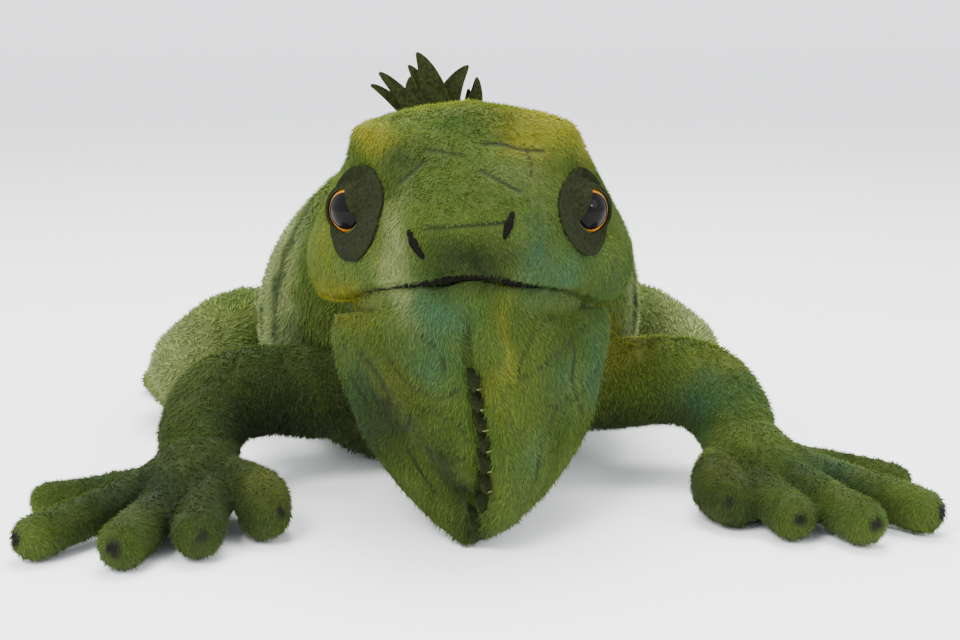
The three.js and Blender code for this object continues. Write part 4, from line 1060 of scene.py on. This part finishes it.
# %% the glove: an oval tunnel from the belly to the neck
GLOVE_STEPS, GLOVE_AROUND = 60, 72  # rings along the tunnel, and points in each
CUTTER_ONLY = 10  # the first rings, below the belly, which only the cutter needs
GLOVE = through_rows([(0, 88, -12), (0, 87, 12), (0, 70, 38), (0, 34, 62), (0, -8, 84), (0, -44, 104)],
                     GLOVE_STEPS)
GLOVE_RADII = through_rows([[44], [43], [36], [31], [29], [28]], GLOVE_STEPS)[:, 0]


def in_glove(points, spare):
    """1 where a point lies within the tunnel's radius and a spare width of its middle line."""
    away = np.linalg.norm(points[:, None] - GLOVE[None, ::3], axis=2) - GLOVE_RADII[None, ::3]
    return (away.min(1) < spare).astype(float)


def glove_ring(spare):
    """Rings round the middle line, level at the opening and square to the line further in."""
    along = unit(np.gradient(GLOVE, axis=0))
    up = unit(np.cross(np.array([[1.0, 0, 0]]), along))
    c, s = section(GLOVE_AROUND)
    turn = np.arange(GLOVE_AROUND)[None] / GLOVE_AROUND * 2 * np.pi
    creases = 0.8 * np.sin(turn * 5 + np.linspace(0, 9, GLOVE_STEPS)[:, None])
    reach = GLOVE_RADII[:, None] + spare + creases * smooth_step(GLOVE[:, 2:], 8, 30)
    ring = np.array([1.0, 0, 0]) * c[None, :, None] + up[:, None] * s[None, :, None]
    return GLOVE[:, None] + reach[..., None] * ring


cutter = closed_piece("cutter", closed_tube(glove_ring(0.9)))
cut = body.modifiers.new("opening", "BOOLEAN")
cut.operation, cut.object, cut.solver = "DIFFERENCE", cutter, "EXACT"
apply_all(body)
bpy.data.objects.remove(cutter)
inner, outer = glove_ring(-0.9)[CUTTER_ONLY:], glove_ring(0.5)[CUTTER_ONLY:]
glove = closed_piece("glove_tube", ring_shape(np.concatenate([outer, inner[::-1]])), cotton)
turn = np.arange(96) / 96 * 2 * np.pi
spin = np.arange(16) / 16 * 2 * np.pi
roll = 3.0 + 0.25 * np.sin(turn * 40)
reach = 43.5 + roll[:, None] * np.cos(spin)
hem_grid = np.stack([reach * np.cos(turn)[:, None], 88 + reach * np.sin(turn)[:, None],
                     3.4 + 1.05 * roll[:, None] * np.sin(spin)], -1)
hem = closed_piece("hem_roll", ring_shape(hem_grid), cotton)
print("body_cover", len(body.data.vertices), "glove_tube", len(glove.data.vertices))


# %% eyes
DOME, RISE = 10.5, 6.4
BALL = (DOME ** 2 + RISE ** 2) / (2 * RISE)


def eye_frame(side):
    """The eye's place, its axis, the way towards the nose across it, and the way up across it."""
    centre, axis = EYES[side]
    nose = np.array([math.sin(TURN), -math.cos(TURN), 0])
    inner = unit(nose - axis * (nose @ axis))
    up = np.cross(axis, inner)
    return centre, axis, inner, up * np.sign(up[2])


def dome_height(r):
    """A ball cap's height at r from its middle: sqrt(ball^2 - r^2) less what is below the rim."""
    return np.sqrt(np.maximum(BALL ** 2 - np.minimum(r, DOME) ** 2, 0)) - (BALL - RISE)


def eye_dome(side):
    """A cap that rounds over at the rim to a flat back, as rings about the axis."""
    centre, axis, inner, up = eye_frame(side)
    r = np.concatenate([np.linspace(0.25, DOME, 30), [DOME + 0.15, DOME, DOME - 0.6]])
    h = np.concatenate([dome_height(r[:30]), [-0.5, -4.5, -5.0]])
    c, s = section(72)
    ring = inner * c[:, None] + up * s[:, None]
    grid = centre + r[:, None, None] * ring + h[:, None, None] * axis
    points, faces = closed_tube(grid)
    piece = closed_piece(f"{side}_eye_dome", (points, faces))
    reach = np.concatenate([np.repeat(r / DOME, 72), [0, 0.9]])
    keep_numbers(piece.data, {"reach": reach, "lift": ((points - centre) @ up) / DOME})
    return piece


eye_finish = plain("eye plastic", (0.0, 0.0, 0.0), 0.06)
tree = eye_finish.node_tree
shader = tree.nodes["Principled BSDF"]
out = attribute(tree, "reach", "Fac")
amber = mixed(tree, ranged(tree, attribute(tree, "lift", "Fac"), -0.75, -0.1),
              (0.50, 0.17, 0.004), (0.30, 0.17, 0.06))
amber = mixed(tree, ranged(tree, attribute(tree, "lift", "Fac"), 0.55, 0.85), amber, (0.55, 0.2, 0.005))
iris = mixed(tree, ranged(tree, out, 0.76, 0.79), (0.004, 0.004, 0.004), amber)
speck = noise(tree, tree.nodes.new("ShaderNodeTexCoord").outputs["Object"], 900, 2)
iris = mixed(tree, ranged(tree, speck, 0.5, 0.9, 0, 0.3), iris, (0.12, 0.05, 0.01), "MULTIPLY")
iris = mixed(tree, ranged(tree, out, 0.965, 0.99), iris, (0.006, 0.005, 0.004))
link_up(tree, [(iris, shader.inputs["Base Color"]),
               (ranged(tree, speck, 0.3, 0.8, 0.04, 0.10), shader.inputs["Roughness"])])
set_sockets(shader, Specular_IOR_Level=0.06)
domes = {}
for side in EYES:
    domes[side] = eye_dome(side)
    domes[side].data.materials.append(eye_finish)


# %% felt patches with the lid cut on a slant
PATCH = {"right": [22, 21.5, 20.5, 19, 15, 12.5, 12, 12.5, 15, 20, 23, 23],
         "left": [20, 18, 17, 18.5, 15, 12, 11.8, 12, 14.5, 18.5, 19.5, 20]}
LID_TURN, LID_FROM = math.radians(30), 4.6


def surface_tree(*pieces):
    shapes = [(positions(piece), [list(p.vertices) for p in piece.data.polygons]) for piece in pieces]
    points, faces = together(*shapes)
    return BVHTree.FromPolygons([tuple(p) for p in points], faces)


def patch_reach(side, angle):
    """The felt's outline by angle, from the nose side round: even steps between its radii."""
    radii = PATCH[side] + PATCH[side][:1]
    return np.interp(angle % (2 * np.pi), np.linspace(0, 2 * np.pi, len(radii)), radii)


def felt_patch(side, tree, around=96, rows=20, thickness=1.5):
    """A felt ring from the eye's edge, or from the lid's straight cut, out to the outline. Its height
    is the skin's, or the dome's where that stands higher."""
    centre, axis, inner, up = eye_frame(side)
    angle = np.arange(around) / around * 2 * np.pi
    cut = LID_FROM / np.maximum(np.cos(angle - LID_TURN), 0.05)
    start = np.minimum(DOME - 1.0, cut)
    reach = start + (patch_reach(side, angle) - start) * np.linspace(0, 1, rows)[:, None]
    flat = centre + reach[..., None] * (inner * np.cos(angle)[:, None] + up * np.sin(angle)[:, None])
    skin = np.array([[height_of(tree, p, axis) for p in row] for row in flat])
    dome = np.where(reach < DOME + 1.2, dome_height(reach) + 0.3, -5)
    top = np.maximum(skin + 0.4, dome)
    for _ in range(6):
        top[1:-1] = np.maximum(top[1:-1], (top[:-2] + top[2:]) / 2 * 0.5 + top[1:-1] * 0.5)
    front = flat + (top + thickness)[..., None] * axis
    back = flat + top[..., None] * axis
    back[-1] -= axis * 1.2
    return closed_piece(f"{side}_felt_patch", ring_shape(np.concatenate([front, back[::-1]])), felt)


def height_of(tree, point, axis):
    """How far the surface stands out from the eye's plane at a point, along the eye's axis."""
    hit = tree.ray_cast(tuple(point + axis * 30), tuple(-axis), 60)
    return -2.0 if hit[0] is None else 30 - hit[3]


def under_patch(points):
    """1 where the felt lies over the skin, so that no pile grows there."""
    hidden = np.zeros(len(points))
    for side in EYES:
        centre, axis, inner, up = eye_frame(side)
        off = points - centre
        x, y, h = off @ inner, off @ up, off @ axis
        edge = patch_reach(side, np.arctan2(y, x)) - 1.2
        hidden = np.maximum(hidden, ((np.hypot(x, y) < edge) & (np.abs(h) < 16)).astype(float))
    return hidden


head_surface = surface_tree(head)
patches = {side: felt_patch(side, head_surface) for side in EYES}
print("felt patches", [len(patch.data.vertices) for patch in patches.values()])


# %% stitched lines of chenille
def on_face(line, tree, proud=0.4, smoothing=12):
    """Points (x, z) seen from the front, put on the first surface along +Y."""
    found = []
    for x, z in through_rows(line, 40):
        hit = tree.ray_cast((x, -260, z), (0, 1, 0), 200)
        found.append((x, (hit[0] or (0, -175, 0))[1] - proud, z))
    found = np.array(found)
    for _ in range(smoothing):
        found[1:-1, 1] = (found[:-2, 1] + found[1:-1, 1] + found[2:, 1]) / 3
    return found


def chenille_line(name, line, tree, radius):
    """A tube along the line, thicker and thinner by ripples, pointed at its ends."""
    path = on_face(line, tree)
    t = np.linspace(-1, 1, len(path))
    wide = radius * (1 - 0.45 * np.abs(t) ** 6) * (1 + 0.16 * ripples(path, 5, 3))
    return new_piece(name, *limb(path, wide, 90, 12), chenille)


face_surface = surface_tree(head, jaw, dewlap)
LIP = [(-42, 112.8), (-36, 115.2), (-29.5, 117.8), (-21, 120), (-10, 121.3), (-2.5, 120.8),
       (3, 118.8), (8, 116.8), (14, 115), (20.5, 113)]
NOSTRILS = {"right": [(-36.5, 138.6), (-35, 134), (-31.8, 129)],
            "left": [(5.4, 146), (3.4, 141.6), (1.4, 137)]}
lip = chenille_line("lip_chenille", LIP, face_surface, 1.8)
nostrils = {side: chenille_line(f"{side}_nostril_chenille", line, head_surface, 1.7)
            for side, line in NOSTRILS.items()}


# %% felt leaves of the crest
def felt_leaf(base, tip, width, bend=(0, 0, 0), curl=3.0, thick=2.4, rows=24, around=20):
    """A pointed strip: an oval section along a bent line, narrowing as (1 - t^1.3)^0.75, its edges
    curled forward by the square of the distance from its middle."""
    base, tip = np.array(base, float), np.array(tip, float)
    t = np.linspace(0, 1, rows)[:, None]
    path = base + (tip - base) * t + np.array(bend) * 4 * t * (1 - t)
    along = unit(np.gradient(path, axis=0))
    side = unit(np.cross(along, [0, -1.0, 0.05]))
    front = np.cross(side, along)
    wide = width / 2 * (1 - t ** 1.3) ** 0.75 + 0.6
    c, s = section(around)
    y = thick / 2 * s * (1 - 0.4 * t) + curl * c ** 2 * wide / width * 2
    return closed_tube(path[:, None] + side[:, None] * (wide * c)[..., None]
                       + front[:, None] * y[..., None])


LEAVES = [((-12, -50, 168), (-40, -50, 200), 9, (-3, 0, 5)), ((-14, -43, 166), (-24, -43, 198), 14,
          (-3, 0, 2)),
          ((-11, -36, 166), (-20.5, -36, 209.5), 18, (3, 0, 3)),
          ((-7, -29, 163), (6, -29, 203), 17, (-4, 0, 3)),
          ((-3, -22, 160), (11, -22, 197), 14, (4, 0, 0))]
leaves = []
for k, (base, tip, width, bend) in enumerate(LEAVES, 1):
    behind = (np.array(base) + (-3, 2.4, 0), np.array(tip) * (1, 1, 0.97) + (-4, 2.4, 0))
    shapes = [felt_leaf(base, tip, width, bend), felt_leaf(*behind, width * 0.7, bend)]
    points, faces = together(*[(p, outward(p, f)) for p, f in shapes])
    leaves.append(new_piece(f"nape_leaf_{k}", points, faces, crest_felt))
tabs, loops = [], []
seam_surface = surface_tree(dewlap)
for k in range(1, 9):
    low, high = np.array(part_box(f"dewlap_spike_{k}")) / MM
    z = (low[2] + high[2]) / 2
    x = float(np.interp(z, *SEAM)) - 1.0
    y = on_face([(x, z), (x, z + 0.1)], seam_surface)[0][1]
    tip = (x - 1.5, y - 5.0 - (k < 3) * 2, z - 5)
    leaf = felt_leaf((x, y + 5, z + 3), tip, 8.5, (0, -1.5, 2), curl=1.5, thick=2.6, rows=16)
    tabs.append(closed_piece(f"dewlap_tab_{k}", leaf, felt))
    bow = through_rows(np.array([(-2, -1, -4), (0, -3.2, -4.6), (4, -2.6, -4), (8, -4.4, -2.4)])
                       + (x, y, z), 12)
    loops.append(closed_piece(f"dewlap_loop_{k}", limb(bow, [0.4] * 4, 16, 8), pale_thread))


# %% the low strip along the spine, and the mouth's cloth
body_surface = surface_tree(body)
along = np.linspace(-6, 129, 150)
hits = [body_surface.ray_cast((0, y, 260), (0, 0, -1), 400)[0] or (0, 0, 80) for y in along]
ridge = np.array([hit[2] for hit in hits])
tall = 5.5 + 2.5 * np.abs(np.sin(along / 13 * np.pi)) ** 0.7
rise = np.linspace(0, 1, 8)
wave = 1.2 * np.sin(along / 21)[:, None] * rise
half = 1.2 * (1 - 0.5 * rise[None])
height = ridge[:, None] - 2 + tall[:, None] * rise
left_side = np.stack([wave + half, along[:, None] + 0 * wave, height], -1)
right_side = np.stack([wave - half, along[:, None] + 0 * wave, height], -1)
strip = closed_tube(np.concatenate([left_side, right_side[:, ::-1]], 1))
spine_strip = closed_piece("spine_strip", strip, crest_felt)


def softened(node, name, material):
    """A piece on a CAD solid's own shape, with its edges rounded by a fine remesh. It is drawn in
    by 13% sideways and 10% towards the back, so that the lips cover its edge."""
    copy = in_scene(name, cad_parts[node].data.copy())
    copy.data.materials.clear()
    remeshed(copy, 1.1, 4)
    points = positions(copy)
    back = points[:, 1].max()
    set_positions(copy, points + (np.array([-4, back, 0]) - points) * [0.13, 0.10, 0])
    copy.data.materials.append(material)
    return copy


palate_cloth = softened("upper_mouth_lining", "palate_cloth", mouth_cloth)
tongue_cloth = softened("lower_mouth_lining", "tongue_cloth", mouth_cloth)
palate_card = softened("palate_board", "palate_card", board_finish)
jaw_card = softened("jaw_board", "jaw_card", board_finish)
print("palate_cloth", len(palate_cloth.data.vertices), "tongue_cloth", len(tongue_cloth.data.vertices))


# %% [markdown]
# ## Dressing and hanging the pieces
# Each skin takes the dye with its painted shade and its own pile, which moves exactly as the skin does.
# The limbs, the hands, the neck, the dewlap and the tail stay where they are built; the rest hang on
# their bodies.

# %% pile on every skin
EASED, LEAST = 2, 0.3


def clothed(skin, count, lines=None, **look):
    """Gives a skin its finish, its dye with its painted shade, and its pile. Points lower than EASED are
    lifted towards it by an exponential curve, which ends LEAST above the floor."""
    skin.data.materials.clear()
    skin.data.materials.append(skin_finish)
    points = positions(skin)
    z = points[:, 2]
    lifted = LEAST + 1.7 * np.exp((z - EASED) / 1.7)
    points[:, 2] = np.where(z < EASED, lifted, z)
    set_positions(skin, points)
    keep_dye_and_shade(skin, points, lines)
    return pile_on(skin, skin.name.replace("_cover", "_pile"), count, lines=lines, **look)


def face_first(middle, normal):
    """More fibres in front, where the pile is seen close, and none under the felt."""
    return (0.3 + 0.7 * smooth_step(-middle[:, 1], 85, 120)) * (1 - under_patch(middle))


def off_the_glove(middle, normal):
    """No fibres at the opening, and few underneath."""
    return (1 - in_glove(middle, 2.0)) * (1 - 0.7 * smooth_step(-normal[:, 2], 0.5, 0.9))


BODY_PARTS = [
    (body, "body", None, ("body_skin", "belly_skin", "body_stuffing"), 0.9,
     dict(count=44000, thin=off_the_glove, width=0.95, length=4.2, seed=3)),
    (neck, "body", ("neck", (0, -48, 112), (0, -95, 112)),
     ("neck_skin", "neck_stuffing", "neck_lining"), 0.85,
     dict(count=9000, width=0.8, seed=4)),
    (head, "head", None, ("head_skin", "head_stuffing", "finger_pocket"), 0.85,
     dict(count=49500, lines=QUILTING, length=2.9, lean=62, thin=face_first, width=0.6, seed=1)),
    (jaw, "jaw", None, ("jaw_skin", "jaw_stuffing", "thumb_pocket"), 0.8,
     dict(count=9000, length=3.0, seed=5)),
    (dewlap, "jaw", ("dewlap", (-12, -185, 97), (-12, -180, 82)),
     ("left_dewlap_panel", "right_dewlap_panel"), 0.3,
     dict(count=40000, lines=VEINS, length=3.6, lean=60, width=0.58, seed=2)),
    (tail_base, "body", ("tail_base", (0, 160, 26), (6, 196, 26)),
     ("tail_base_skin", "tail_base_stuffing"), 0.85,
     dict(count=9000, width=1.0, seed=6)),
    (tail_tip, "tail_base", ("tail_tip", (14, 281, 14), (22, 309, 14)),
     ("tail_tip_skin", "tail_tip_stuffing"), 0.85,
     dict(count=7000, width=0.9, length=3.4, seed=7)),
]
for k, (side, way) in enumerate((("left", 1), ("right", -1))):
    BODY_PARTS += [
        (forelegs[side], "body", (f"{side}_foreleg", (40 * way, -68, 44), (66 * way, -68, 44)),
         (f"{side}_foreleg_skin", f"{side}_foreleg_stuffing"), 0.85,
         dict(count=17000, length=3.6, width=0.7, seed=8 + k)),
        (hands[side], f"{side}_foreleg", (f"{side}_hand", (122 * way, -90, 32), (130 * way, -108, 24)),
         (f"{side}_hand_skin", f"{side}_hand_stuffing"), 0.85,
         dict(count=26000, length=2.9, lean=62, width=0.6, seed=10 + k)),
        (hindlegs[side], "body", (f"{side}_hindleg", (64 * way, 88, 46), (96 * way, 88, 46)),
         (f"{side}_hindleg_skin", f"{side}_hindleg_stuffing"), 0.85,
         dict(count=15000, width=0.95, seed=12 + k)),
    ]
for skin, holder, joint, nodes, fill, look in BODY_PARTS:
    pile = clothed(skin, **look)
    for piece in (skin, pile):
        if joint:
            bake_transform(piece)
        else:
            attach(piece, holder)
    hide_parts(*nodes)
    print(skin.name, len(skin.data.polygons), "faces,", pile.name, len(pile.data.polygons))


# %% the rest of the pieces
def hung(piece, holder, slot, *nodes):
    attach(piece, holder)
    if nodes:
        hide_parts(*nodes)


hung(glove, "body", "lining", "glove_lining")
hung(hem, "body", "lining", "hem_binding")
hung(spine_strip, "body", "felt", "back_crest_strip")
hung(lip, "head", "thread", "lip_stitching")
hung(palate_card, "head", "board", "palate_board")
hung(jaw_card, "jaw", "board", "jaw_board")
hung(palate_cloth, "head", "lining", "upper_mouth_lining")
hung(tongue_cloth, "jaw", "lining", "lower_mouth_lining")
for side in EYES:
    hung(domes[side], "head", "eye", f"{side}_eye")
    hung(patches[side], "head", "felt", f"{side}_eye_patch")
    hung(nostrils[side], "head", "thread", f"{side}_nostril_stitching")
    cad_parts[f"{side}_eye_washer"].data.materials[0] = washer_finish
for k in range(1, 9):
    hung(tabs[k - 1], "dewlap", "felt", f"dewlap_spike_{k}")
    hung(loops[k - 1], "dewlap", "thread")
for k, leaf in enumerate(leaves, 1):
    hung(leaf, "body", "felt", f"nape_spike_{k}")
